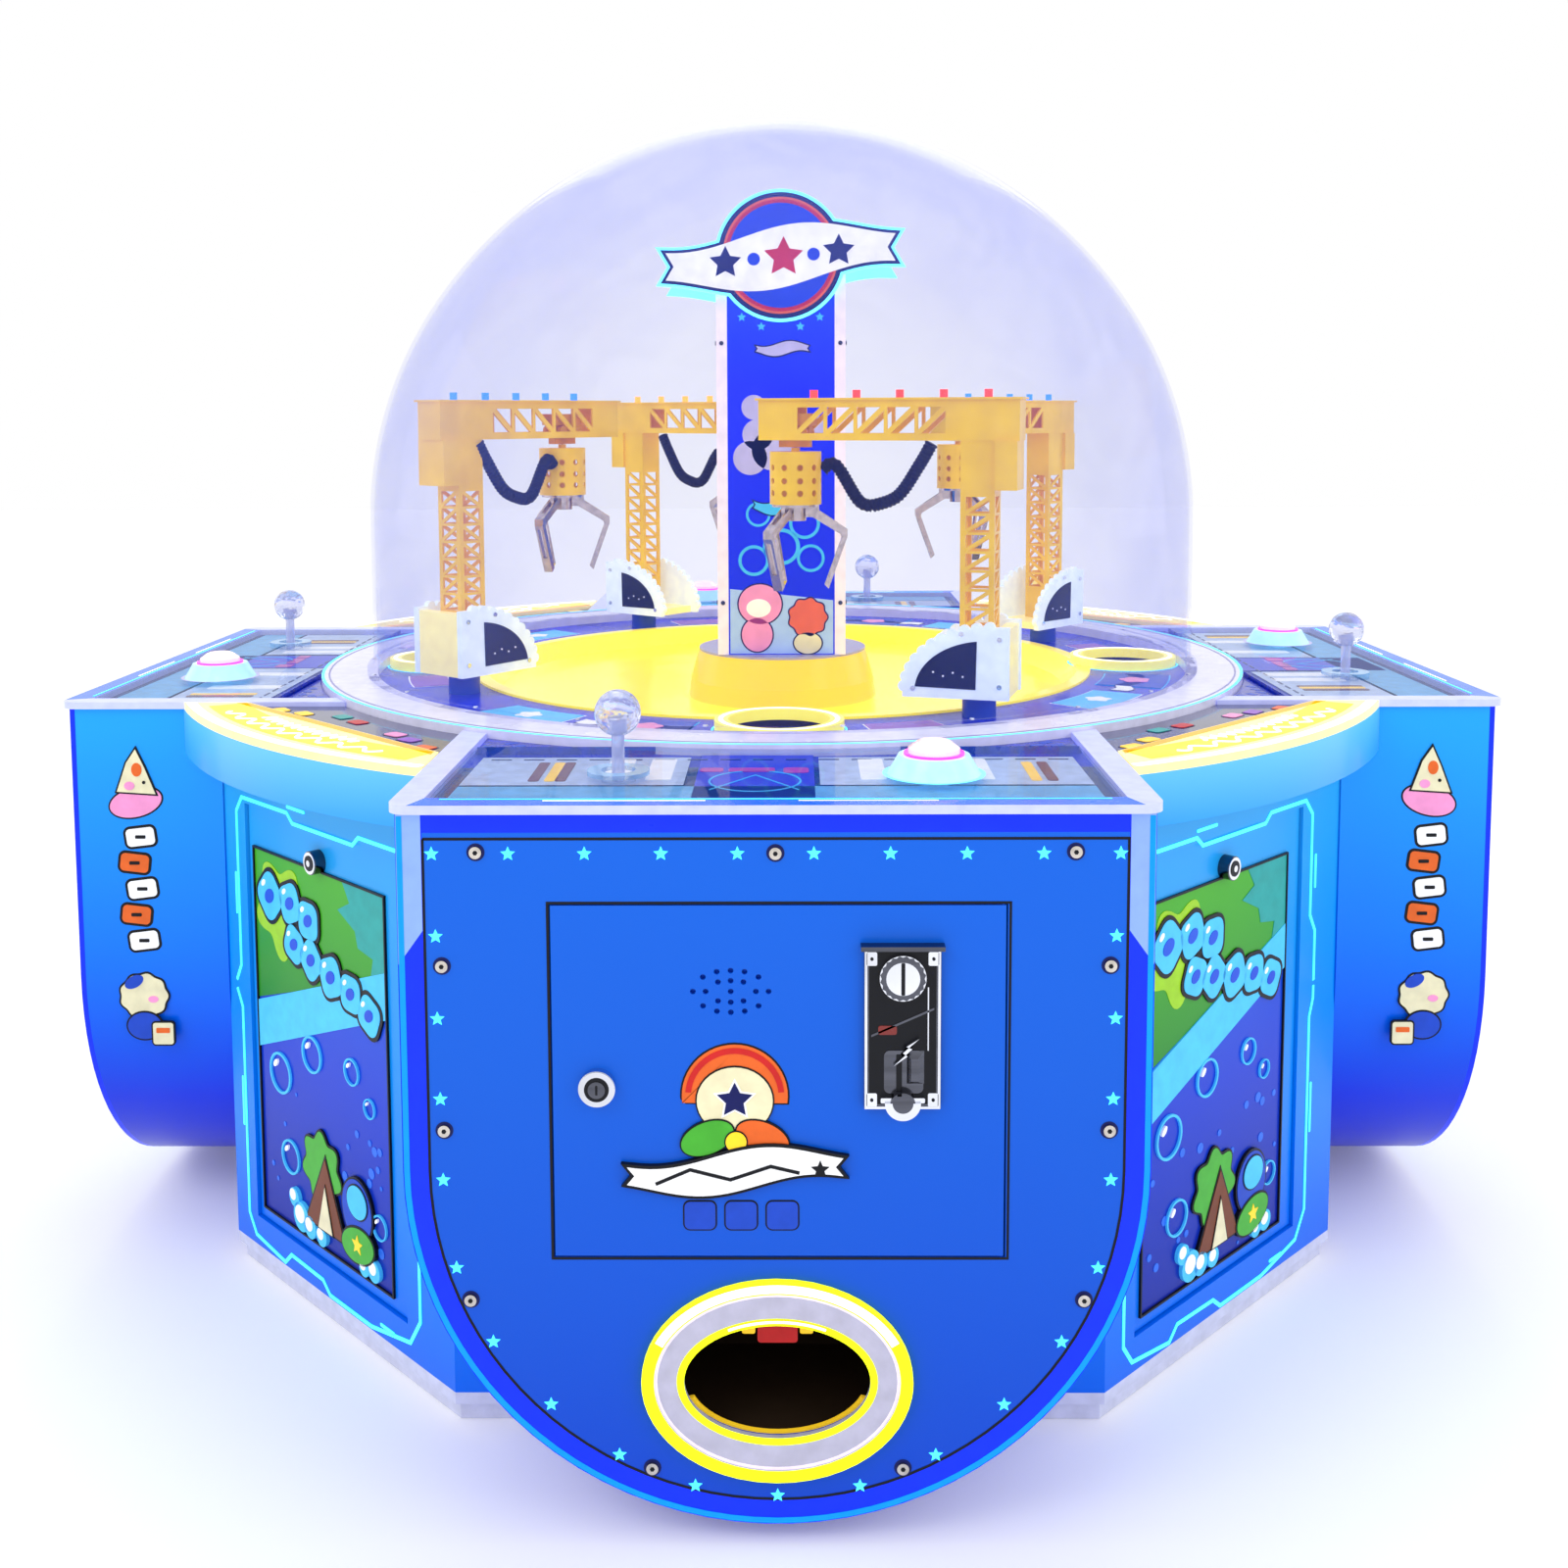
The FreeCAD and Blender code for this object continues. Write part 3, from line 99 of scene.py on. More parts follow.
def build_camera():
    camera = bpy.data.objects.new("camera", bpy.data.cameras.new("camera"))
    scene.collection.objects.link(camera)
    camera.data.lens = 37.64
    camera.data.sensor_width = 36
    camera.data.shift_y = -0.1425
    camera.location = (0.0174, -2.2, 1.0038)
    pitch, yaw, roll = 0.0903, -0.0067, -0.0032
    turn = (Matrix.Rotation(-yaw, 4, "Z") @ Matrix.Rotation(math.pi / 2 - pitch, 4,
        "X") @ Matrix.Rotation(roll, 4, "Z"))
    camera.rotation_euler = turn.to_euler()
    scene.camera = camera


def area_light(name, place, aim, power, width, height, color=(1, 1, 1)):
    light = bpy.data.lights.new(name, "AREA")
    light.energy = power
    light.shape = "RECTANGLE"
    light.size, light.size_y = width, height
    light.color = color
    lamp = bpy.data.objects.new(name, light)
    lamp.location = place
    lamp.rotation_euler = (Vector(aim) - Vector(place)).to_track_quat("-Z", "Y").to_euler()
    scene.collection.objects.link(lamp)


def build_stage():
    world = bpy.data.worlds.new("studio")
    world.use_nodes = True
    world.node_tree.nodes["Background"].inputs["Color"].default_value = (1, 1, 1, 1)
    world.node_tree.nodes["Background"].inputs["Strength"].default_value = 1.0
    scene.world = world
    scene.view_settings.view_transform = "Standard"
    bpy.ops.mesh.primitive_plane_add(size=30, location=(0, 0, -0.0005))
    floor = bpy.context.object
    floor.name = "floor"
    material = bpy.data.materials.new("floor_white")
    material.use_nodes = True
    shader = material.node_tree.nodes["Principled BSDF"]
    shader.inputs["Base Color"].default_value = (0.93, 0.93, 0.94, 1)
    shader.inputs["Roughness"].default_value = 0.7
    shader.inputs["Emission Color"].default_value = (1, 1, 1, 1)
    shader.inputs["Emission Strength"].default_value = 0.1
    floor.data.materials.append(material)
    area_light("key", (-2.6, -3.2, 3.6), (0, 0, 0.7), 34, 2.2, 1.6)
    area_light("fill", (3.0, -2.8, 2.4), (0, 0, 0.6), 18, 2.0, 2.0, (0.92, 0.95, 1))
    area_light("back", (0, 3.4, 3.0), (0, 0, 0.8), 22, 3.0, 1.5)
    area_light("top", (0, -0.2, 3.6), (0, 0, 0.6), 14, 2.4, 2.4)
    area_light("side_left", (-3.4, 1.0, 1.6), (0, 0, 0.6), 10, 1.6, 2.0)
    area_light("side_right", (3.4, 1.0, 1.6), (0, 0, 0.6), 10, 1.6, 2.0)


# ---------------------------------------------------------------- materials

def srgb(red, green, blue):
    def linear(value):
        value /= 255
        return value / 12.92 if value <= 0.04045 else ((value + 0.055) / 1.055) ** 2.4
    return (linear(red), linear(green), linear(blue), 1)


class Nodes:
    """A thin helper that adds and links shader nodes."""

    def __init__(self, name):
        self.material = bpy.data.materials.new(name)
        self.material.use_nodes = True
        self.tree = self.material.node_tree
        self.shader = self.tree.nodes["Principled BSDF"]

    def add(self, kind, **inputs):
        made = self.tree.nodes.new("ShaderNode" + kind)
        for key, value in inputs.items():
            if key in made.inputs:
                if isinstance(value, bpy.types.NodeSocket):
                    self.tree.links.new(value, made.inputs[key])
                else:
                    made.inputs[key].default_value = value
            else:
                setattr(made, key, value)
        return made

    def link(self, source, target):
        self.tree.links.new(source, self.shader.inputs[target])

    def spots(self, scale, detail=3.0):
        place = self.add("TexCoord").outputs["Object"]
        noise = self.add("TexNoise", Scale=scale, Detail=detail)
        self.tree.links.new(place, noise.inputs["Vector"])
        return noise.outputs["Fac"]

    def relief(self, height, strength, distance):
        bump = self.add("Bump", Strength=strength, Distance=distance, Height=height)
        self.link(bump.outputs["Normal"], "Normal")

    def done(self, values):
        """The finished material, with its shader's own sockets set."""
        for key, value in values.items():
            self.shader.inputs[key].default_value = value
        return self.material

    def ramp(self, factor, stops):
        ramp = self.add("ValToRGB")
        while len(ramp.color_ramp.elements) < len(stops):
            ramp.color_ramp.elements.new(0.5)
        for element, (position, color) in zip(ramp.color_ramp.elements, stops):
            element.position, element.color = position, color
        self.tree.links.new(factor, ramp.inputs["Fac"])
        return ramp.outputs["Color"]


def shade(color, amount):
    return tuple(min(1, channel * amount) for channel in color[:3]) + (1,)


def finish(name, color, rough, metal=0.0, coat=0.0, glow=0.0, variety=0.08, grain=60, bump=0.02,
        glow_color=None, clear=0.0, ior=1.46, shine=0.2):
    """A moulded, painted or metal surface with slight unevenness in colour, gloss and relief."""
    nodes = Nodes(name)
    glow_color = srgb(*(glow_color or color))
    color = srgb(*color)
    fac = nodes.spots(grain)
    nodes.link(nodes.ramp(fac, [(0.3, shade(color, 1 - variety)), (0.7, shade(color,
        1 + variety))]), "Base Color")
    low = nodes.add("MapRange")
    nodes.tree.links.new(nodes.spots(grain * 0.35), low.inputs["Value"])
    low.inputs["To Min"].default_value = max(0.02, rough * 0.8)
    low.inputs["To Max"].default_value = min(1, rough * 1.25)
    nodes.link(low.outputs["Result"], "Roughness")
    if bump:
        nodes.relief(nodes.spots(350, 5), bump, 0.0006)
    values = {"Metallic": metal, "Coat Weight": coat, "Coat Roughness": 0.04, "IOR": ior,
        "Transmission Weight": clear, "Specular IOR Level": shine}
    if glow:
        values["Emission Color"] = glow_color
        values["Emission Strength"] = glow
    return nodes.done(values)


def steel(name, color, rough, scale):
    """Metal with fine drawn lines across the axis where scale is greatest."""
    nodes = Nodes(name)
    place = nodes.add("TexCoord").outputs["Object"]
    stretch = nodes.add("Mapping", Scale=scale, Vector=place)
    noise = nodes.add("TexNoise", Scale=3.0, Detail=6.0, Vector=stretch.outputs["Vector"])
    nodes.link(nodes.ramp(noise.outputs["Fac"], [(0.3, shade(color, 0.75)),
        (0.75, shade(color, 1.15))]), "Base Color")
    nodes.relief(noise.outputs["Fac"], 0.08, 0.0003)
    return nodes.done({"Metallic": 1, "Roughness": rough})


def gradient_panel(name, stops, glow):
    """A panel whose colour runs up the frame, through stops of (height, colour): print on the side
    doors, and painted shade on the drum walls, which darken towards the bottom.
    """
    nodes = Nodes(name)
    split = nodes.add("SeparateXYZ")
    nodes.tree.links.new(nodes.add("TexCoord").outputs["Object"], split.inputs["Vector"])
    reach = nodes.add("MapRange")
    reach.inputs["From Min"].default_value = stops[0][0]
    reach.inputs["From Max"].default_value = stops[-1][0]
    nodes.tree.links.new(split.outputs["Z"], reach.inputs["Value"])
    mottle = nodes.add("Math", operation="MULTIPLY_ADD")
    nodes.tree.links.new(nodes.spots(6), mottle.inputs[0])
    mottle.inputs[1].default_value = 0.06
    nodes.tree.links.new(reach.outputs["Result"], mottle.inputs[2])
    whole = stops[-1][0] - stops[0][0]
    color = nodes.ramp(mottle.outputs[0], [((place - stops[0][0]) / whole, tone) for place,
        tone in stops])
    nodes.link(color, "Base Color")
    nodes.link(color, "Emission Color")
    nodes.relief(nodes.spots(300, 4), 0.02, 0.0005)
    return nodes.done({"Emission Strength": glow, "Coat Weight": 0.06, "Coat Roughness": 0.08,
        "Specular IOR Level": 0.18, "Roughness": 0.3})


def clear_sheet(name, tint, alpha, ripple):
    """Thin clear sheet that shows what is behind it; ripple makes its clearness uneven."""
    nodes = Nodes(name)
    edge = nodes.add("LayerWeight", Blend=0.35)
    reach = nodes.add("MapRange")
    nodes.tree.links.new(edge.outputs["Facing"], reach.inputs["Value"])
    reach.inputs["To Min"].default_value = alpha
    reach.inputs["To Max"].default_value = min(1, alpha * 5)
    clearness = reach.outputs["Result"]
    if ripple:
        swirl = nodes.add("TexNoise", Scale=3.0, Detail=1.0, Distortion=3.5)
        nodes.tree.links.new(nodes.add("TexCoord").outputs["Object"], swirl.inputs["Vector"])
        uneven = nodes.add("MapRange")
        nodes.tree.links.new(swirl.outputs["Fac"], uneven.inputs["Value"])
        uneven.inputs["From Min"].default_value = 0.35
        uneven.inputs["From Max"].default_value = 0.65
        uneven.inputs["To Min"].default_value = 1 - ripple
        uneven.inputs["To Max"].default_value = 1 + ripple
        product = nodes.add("Math", operation="MULTIPLY")
        nodes.tree.links.new(clearness, product.inputs[0])
        nodes.tree.links.new(uneven.outputs["Result"], product.inputs[1])
        clearness = product.outputs[0]
    nodes.link(clearness, "Alpha")
    return nodes.done({"Base Color": tint, "Roughness": 0.02, "IOR": 1.49})


def facet_ball(material):
    """Cut facets on the joystick's clear ball."""
    tree = material.node_tree
    cells = tree.nodes.new("ShaderNodeTexVoronoi")
    cells.inputs["Scale"].default_value = 110
    relief = tree.nodes.new("ShaderNodeBump")
    relief.inputs["Strength"].default_value = 0.9
    relief.inputs["Distance"].default_value = 0.002
    tree.links.new(tree.nodes.new("ShaderNodeTexCoord").outputs["Object"], cells.inputs["Vector"])
    tree.links.new(cells.outputs["Distance"], relief.inputs["Height"])
    tree.links.new(relief.outputs["Normal"], tree.nodes["Principled BSDF"].inputs["Normal"])


PANELS = {"front_blue": (0.0, [(0.04, (4, 66, 200)), (0.25, (5, 82, 208)), (0.45, (6, 92, 214)),
    # On the drum walls the blue darkens towards the bottom: painted shade where the walls curve
    # under.
    (0.646, (5, 98, 220))]), "drum_blue": (0.05, [(0.02, (0, 12, 175)), (0.2, (0, 50, 218)),
    (0.4, (2, 118, 245)), (0.66, (24, 160, 248))]), "cabinet": (0.04, [(0.03, (0, 98, 232)),
    (0.2, (0, 128, 245)), (0.45, (14, 150, 240)), (0.65, (45, 172, 240))]),
    "apron": (0.05, [(0.6, (28, 150, 236)), (0.664, (95, 190, 245))]), "column": (0.2,
    [(0.69, (8, 40, 232)), (0.85, (4, 34, 240)), (1.05, (0, 30, 245)), (1.19, (10, 60, 240))]),
    "door_deep": (0.0, [(0.07, (6, 30, 150)), (0.3, (12, 58, 205)), (0.51, (20, 90, 225))]),
    "door_green": (0.0, [(0.33, (30, 135, 40)), (0.51, (70, 175, 35))]),}

METALS = {"chrome": ((225, 228, 238), 0.08, (3, 3, 3)), "dark_chrome": ((92, 94, 104), 0.16,
    (3, 3, 60)), "bolt": ((205, 198, 190), 0.15, (40, 40, 40)), "claw": ((206, 192, 186), 0.24,
    (60, 60, 60)),}

SHEETS = {"glass": ((60, 110, 190), 0.08, 0.0), "dome": ((96, 118, 245), 0.05, 0.1),
    "washer": ((150, 200, 245), 0.3, 0.0),}

FINISHES = {"led_blue": dict(color=(0, 40, 235), rough=0.3, coat=0.08, glow=0.45),
    "trim": dict(color=(196, 202, 250), rough=0.3, coat=0.15, glow=0.18,
    glow_color=(150, 160, 255)), "trim_blue": dict(color=(20, 90, 250), rough=0.25, coat=0.2,
    glow=0.3, glow_color=(10, 120, 255)), "plinth": dict(color=(205, 208, 232), rough=0.45),
    # This black also serves as painted shade on the coin doors' hidden backs and hole walls.
    "black_and_painted_shade": dict(color=(16, 17, 22), rough=0.3, coat=0.2), "rubber": dict(color=(14, 14, 17),
    rough=0.55, bump=0.05), "outlet_neon": dict(color=(240, 255, 20), rough=0.4, glow=0.8,
    glow_color=(225, 255, 10)), "chute_neon": dict(color=(255, 244, 120), rough=0.35, coat=0.1,
    glow=0.5, glow_color=(255, 238, 60)), "duct": dict(color=(48, 36, 26), rough=0.5),
    "ring": dict(color=(214, 214, 240), rough=0.25, coat=0.2, glow=0.12),
    "deck_inner": dict(color=(14, 34, 200), rough=0.25, coat=0.15, glow=0.12, variety=0.3,
    grain=22), "deck_dark": dict(color=(40, 44, 98), rough=0.12, coat=0.5, variety=0.25, grain=14),
    "deck_pattern": dict(color=(12, 38, 165), rough=0.2, coat=0.2, glow=0.15, variety=0.5,
    grain=90), "canopy": dict(color=(255, 240, 170), rough=0.3, coat=0.1, glow=0.4,
    glow_color=(255, 226, 110)), "bowl": dict(color=(255, 232, 0), rough=0.22, coat=0.2, glow=0.5,
    glow_color=(255, 232, 0), variety=0.05, grain=8), "pedestal": dict(color=(252, 205, 0),
    rough=0.25, coat=0.2, glow=0.3, glow_color=(250, 190, 0), variety=0.05, grain=8),
    "disc": dict(color=(170, 165, 205), rough=0.2, coat=0.1), "strip": dict(color=(240, 228, 244),
    rough=0.35, coat=0.08, glow=0.2), "sign_edge": dict(color=(120, 235, 255), rough=0.3, glow=1.8,
    glow_color=(90, 220, 255)), "navy": dict(color=(10, 20, 90), rough=0.3, coat=0.1),
    "crystal": dict(color=(225, 228, 250), rough=0.03, clear=0.8, ior=1.49, variety=0.02, bump=0.0,
    glow=0.05, shine=0.5), "rod_clear": dict(color=(200, 205, 235), rough=0.05, clear=0.6,
    variety=0.02, bump=0.0, glow=0.1), "button_base": dict(color=(190, 232, 248), rough=0.25,
    coat=0.15, glow=0.35, glow_color=(120, 215, 255)), "button_pink": dict(color=(255, 60, 190),
    rough=0.3, glow=1.2), "button_cap": dict(color=(255, 225, 225), rough=0.08, coat=0.8,
    clear=0.35, glow=0.35), "crane": dict(color=(250, 200, 0), rough=0.3, coat=0.12, glow=0.08,
    glow_color=(255, 190, 0), variety=0.12, grain=25), "crane_dark": dict(color=(215, 150, 10),
    rough=0.4, variety=0.15, glow=0.1), "cheek": dict(color=(240, 246, 252), rough=0.25, coat=0.15,
    glow=0.3, glow_color=(190, 225, 255)), "lamp_red": dict(color=(255, 60, 40), rough=0.2,
    glow=1.5), "lamp_blue": dict(color=(60, 120, 255), rough=0.2, glow=1.5),
    "lamp_orange": dict(color=(255, 150, 40), rough=0.2, glow=1.5), "post_blue": dict(color=(40,
    80, 190), rough=0.3, coat=0.08), "cyan": dict(color=(80, 225, 255), rough=0.35, glow=1.1,
    glow_color=(60, 210, 255)), "white": dict(color=(245, 246, 250), rough=0.35, coat=0.08,
    glow=0.15), "green": dict(color=(70, 170, 50), rough=0.35, coat=0.08, glow=0.1),
    "pink": dict(color=(240, 150, 200), rough=0.35, coat=0.08, glow=0.1),
    "sky": dict(color=(70, 190, 245), rough=0.35, coat=0.08, glow=0.15),
    "blue": dict(color=(15, 60, 215), rough=0.35, coat=0.08, glow=0.15),
    "royal": dict(color=(25, 70, 190), rough=0.35, coat=0.08, glow=0.1),
    "gold": dict(color=(255, 205, 40), rough=0.35, coat=0.08, glow=0.3),
    "rim_glow": dict(color=(0, 120, 255), rough=0.3, glow=0.9), "corner_glow": dict(color=(120,
    150, 255), rough=0.3, coat=0.08, glow=0.5), "hot_white": dict(color=(255, 255, 235), rough=0.3,
    glow=1.3), "lemon": dict(color=(250, 225, 30), rough=0.3, glow=0.45),
    "canopy_gold": dict(color=(235, 170, 30), rough=0.3, glow=0.35), "magenta": dict(color=(200,
    30, 170), rough=0.3, coat=0.1), "column_pale": dict(color=(170, 200, 255), rough=0.35,
    # ring_shade is painted shade: a darker copy of the ring's colour, drawn as a line beside the
    # ring's cyan light line.
    coat=0.08, glow=0.1), "ring_shade": dict(color=(150, 150, 200), rough=0.35),
    "steel_dot": dict(color=(70, 72, 84), rough=0.25, metal=0.8), "red_window": dict(color=(120,
    20, 14), rough=0.12, coat=0.8), "glass_pale": dict(color=(186, 204, 236), rough=0.3,
    variety=0.15), "glass_sky": dict(color=(96, 176, 228), rough=0.3, variety=0.15),
    # For the boots' rear plates, which are white: the cream-yellow colour is a painted yellow
    # reflection and the glow is painted light.
    "glass_deep": dict(color=(20, 26, 205), rough=0.3, glow=0.15), "boot_white_with_painted_reflection": dict(color=(252,
    236, 150), rough=0.3, coat=0.15, glow=0.35), "cyan_soft": dict(color=(120, 235, 255),
    rough=0.3, glow=0.7),}

# The darkest print colour doubles as painted shade in gaps, sockets and slots.
PRINTS = {"band_lilac": (188, 186, 208), "ink": (12, 14, 22), "orange": (235, 105, 40),
    "red": (205, 35, 35), "cream": (238, 230, 190), "purple": (150, 90, 200),
    "lime": (160, 215, 30), "teal": (40, 165, 160), "brown": (120, 62, 30),
    "lilac": (196, 190, 240), "blue_dot": (40, 110, 235),}


def make_materials():
    """Every material, by the key that paint(), sticker() and prism() take."""
    made = {}
    for key, (glow, stops) in PANELS.items():
        made[key] = gradient_panel(key, [(up, srgb(*tone)) for up, tone in stops], glow)
    for key, (tone, rough, scale) in METALS.items():
        made[key] = steel(key, srgb(*tone), rough, scale)
    for key, (tone, alpha, ripple) in SHEETS.items():
        made[key] = clear_sheet(key, srgb(*tone), alpha, ripple)
    for key, values in FINISHES.items():
        made[key] = finish(key, **values)
    for key, tone in PRINTS.items():
        made[key] = finish(key, tone, PRINT_ROUGH, coat=PRINT_COAT)
    facet_ball(made["crystal"])
    return made


# ---------------------------------------------------------------- painting CAD nodes

def loose_parts(mesh):
    """Lists the polygons of each separate solid in a mesh, with the solid's box."""
    parent = list(range(len(mesh.vertices)))

    def root(item):
        while parent[item] != item:
            parent[item] = parent[parent[item]]
            item = parent[item]
        return item

    seen = {}
    for vertex in mesh.vertices:
        key = tuple(round(value, 5) for value in vertex.co)
        if key in seen:
            parent[root(vertex.index)] = root(seen[key])
        seen[key] = vertex.index
    for edge in mesh.edges:
        a, b = root(edge.vertices[0]), root(edge.vertices[1])
        parent[a] = b
    groups = {}
    for polygon in mesh.polygons:
        groups.setdefault(root(polygon.vertices[0]), []).append(polygon)
    parts = []
    for polygons in groups.values():
        points = [mesh.vertices[i].co for polygon in polygons for i in polygon.vertices]
        low = Vector([min(p[k] for p in points) for k in range(3)])
        high = Vector([max(p[k] for p in points) for k in range(3)])
        parts.append((polygons, low, high))
    return parts


def home(point):
    """A point turned to the front station: across to the right, out from the centre, and up."""
    x, y, z = point
    if abs(x) > abs(y):
        return (y, x, z) if x > 0 else (-y, -x, z)
    return (x, -y, z) if y < 0 else (-x, y, z)


def paint(node, default, rule=None):
    """Gives a CAD node its materials: rule(across, out, up, polygon) may name one per face."""
    mesh = NODES[node].data
    mesh.materials.clear()
    mesh.materials.append(M[default])
    slots = {default: 0}
    for polygon in mesh.polygons:
        chosen = rule and rule(*home(polygon.center), polygon) or default
        if chosen not in slots:
            slots[chosen] = len(slots)
            mesh.materials.append(M[chosen])
        polygon.material_index = slots[chosen]


def away(across, up, spot):
    return math.hypot(across - spot[0], up - spot[1])


def paint_static():
    paint("cabinet_shell", "cabinet")
    paint("plinth", "plinth", lambda across, out, up, face: "black_and_painted_shade" if up > 0.033 else None)
    # The drum walls take the blue that darkens towards the bottom, painted shade where they curve
    # under.
    paint("station_housings", "drum_blue", lambda across, out, up, face: "trim" if up > DECK + HAIR
        else "led_blue" if out > FACE - 0.0062 else "deck_dark" if up > DECK - HAIR else None)
    paint("station_fronts", "front_blue")
    paint("fasteners", "bolt")
    paint("prize_outlets", "outlet_neon", lambda across, out, up, face: "band_lilac"
        if (across / 0.1086) ** 2 + ((up - OUTLET_HEIGHT) / 0.0816) ** 2 < 1 and out < 0.8305
        else None)
    paint("prize_chutes", "duct", lambda across, out, up, face: "chute_neon" if up > DECK - 0.001
        else None)
    paint("deck", "deck_inner", lambda across, out, up, face: "black_and_painted_shade" if up < DECK - 0.013
        else None)
    paint("canopies", "canopy", lambda across, out, up, face: "apron" if up < DECK - HAIR
        else "deck_dark" if (across + out if across > 0 else out - across) < 0.9468 else None)
    paint("dome_ring", "ring")
    paint("dome", "dome")
    paint("prize_bowl", "bowl")
    paint("pedestal", "pedestal")

    def column(across, out, up, face):
        if up < 0.6895:
            return "disc"
        return "strip" if max(abs(across), out) > COLUMN_HALF + HAIR else None

    paint("center_column", "column", column)

    def controls(across, out, up, face):
        if out > GLASS_OUT and abs(across) < 0.3315 and up > GLASS_TOP - HAIR:
            return "trim_blue" if abs(across) < GLASS_HALF else "trim"
        if abs(across) > GLASS_HALF or out > GLASS_OUT:
            return "trim"
        if up > GLASS_TOP + 0.0004 or up < DECK - HAIR:
            if away(across, out, BUTTON) < 0.05:
                return "button_pink" if up > 0.6901 else "button_base"
            return "washer" if up > DECK else "black_and_painted_shade"
        return "deck_pattern" if out < 0.59 else None

    paint("control_panels", "glass", controls)


def paint_moving():
    for side in SIDES:
        lamp = {"front": "lamp_red", "left": "lamp_blue", "back": "lamp_orange",
            "right": "lamp_blue"}[side]
        cheeks = set()
        for polygons, low, high in loose_parts(NODES["crane_mast_" + side].data):
            if 0.0785 < high.z - low.z < 0.081:
                cheeks.update(polygon.index for polygon in polygons)
        own = (Matrix.Translation(PIVOT) @ turned(REST[side][0])).inverted()

        def mast(across, out, up, face):
            if face.index in cheeks:
                return "cheek"
            spot = own @ Vector((across, -out, up))
            # The boots' rear plates take a cream-yellow that is a painted yellow reflection on
            # white plates.
            if 0.6895 < up < 0.7672 and max(abs(spot.x), abs(spot.y)) > 0.0196:
                return "boot_white_with_painted_reflection"
            return lamp if up > 1.0197 else "post_blue" if up < 0.6905 else None

        paint("crane_mast_" + side, "crane", mast)
        paint("trolley_" + side, "crane_dark")
        paint("claw_head_" + side, "crane", lambda across, out, up, face: "claw" if up < 0.8995
            else None)
        for number in FINGERS:
            paint("claw_finger_%s_%d" % (side, number), "claw")
        paint("gimbal_" + side, "black_and_painted_shade")
        paint("joystick_" + side, "rod_clear", lambda across, out, up, face: "crystal"
            if math.dist((across, out, up), (*STICK, BALL_HEIGHT)) > 0.0208 and up > 0.7065
            else "black_and_painted_shade" if up < 0.66 else None)
        paint("button_" + side, "button_cap")

        def coin(across, out, up, face):
            # Painted shade: faces deep behind the door's front, its back and the walls of its
            # holes, are black so that its gap and holes read dark.
            if out < FACE - 0.0065:
                return "black_and_painted_shade"
            if out > FACE + 0.0003:
                if away(across, up, LOCK) < 0.018:
                    return "chrome"
                if away(across, up, SLOT) < 0.0205 and out > FACE + 0.0061:
                    return "chrome"
                return "dark_chrome"
            return None

        paint("coin_door_" + side, "front_blue", coin)
        paint("side_door_" + CORNERS[side], "cabinet")
        mesh = NODES["side_door_" + CORNERS[side]].data
        mesh.materials.append(M["dark_chrome"])
        middle = turned(SIDES[side] - 45) @ Vector((DOOR_LOCK[0], -DIAGONAL, DOOR_LOCK[1]))
        for polygon in mesh.polygons:
            if (Vector(polygon.center) - middle).length < 0.017:
                polygon.material_index = 1


# ---------------------------------------------------------------- flat shapes and stickers

def circle(x, y, radius, count=32):
    return ellipse(x, y, radius, radius, count=count)


def hoop(x, y, outer, inner, count=32):
    return ("loop", circle(x, y, outer, count), circle(x, y, inner, count))


def ellipse(x, y, wide, tall, turn=0.0, count=36):
    points = []
    for i in range(count):
        angle = 2 * math.pi * i / count
        u, v = wide * math.cos(angle), tall * math.sin(angle)
        points.append((x + u * math.cos(turn) - v * math.sin(turn), y + u * math.sin(turn) + v
            * math.cos(turn)))
    return points


def star(x, y, radius, inner=0.45, tips=5, turn=math.pi / 2):
    return [(x + radius * (1 if i % 2 == 0 else inner) * math.cos(turn + math.pi * i / tips),
        y + radius * (1 if i % 2 == 0 else inner) * math.sin(turn + math.pi * i / tips))
        for i in range(2 * tips)]


def rounded(x, y, half_wide, half_tall, radius, turn=0.0, steps=6):
    points = []
    for corner, (sx, sy) in enumerate(((1, 1), (-1, 1), (-1, -1), (1, -1))):
        for i in range(steps + 1):
            angle = math.pi / 2 * (corner + i / steps)
            u = sx * (half_wide - radius) + radius * math.cos(angle)
            v = sy * (half_tall - radius) + radius * math.sin(angle)
            points.append((x + u * math.cos(turn) - v * math.sin(turn), y + u * math.sin(turn) + v
                * math.cos(turn)))
    return points


def blob(x, y, radius, lobes, depth, turn=0.0, squash=1.0, count=72):
    points = []
    for i in range(count):
        angle = 2 * math.pi * i / count
        reach = radius * (1 + depth * math.cos(lobes * (angle + turn)))
        points.append((x + reach * math.cos(angle), y + squash * reach * math.sin(angle)))
    return points


def sector_band(x, y, inner, outer, start, end, count=28):
    angles = [math.radians(start + (end - start) * i / count) for i in range(count + 1)]
    return ([(x + outer * math.cos(a), y + outer * math.sin(a)) for a in angles]
        + [(x + inner * math.cos(a), y + inner * math.sin(a)) for a in reversed(angles)])


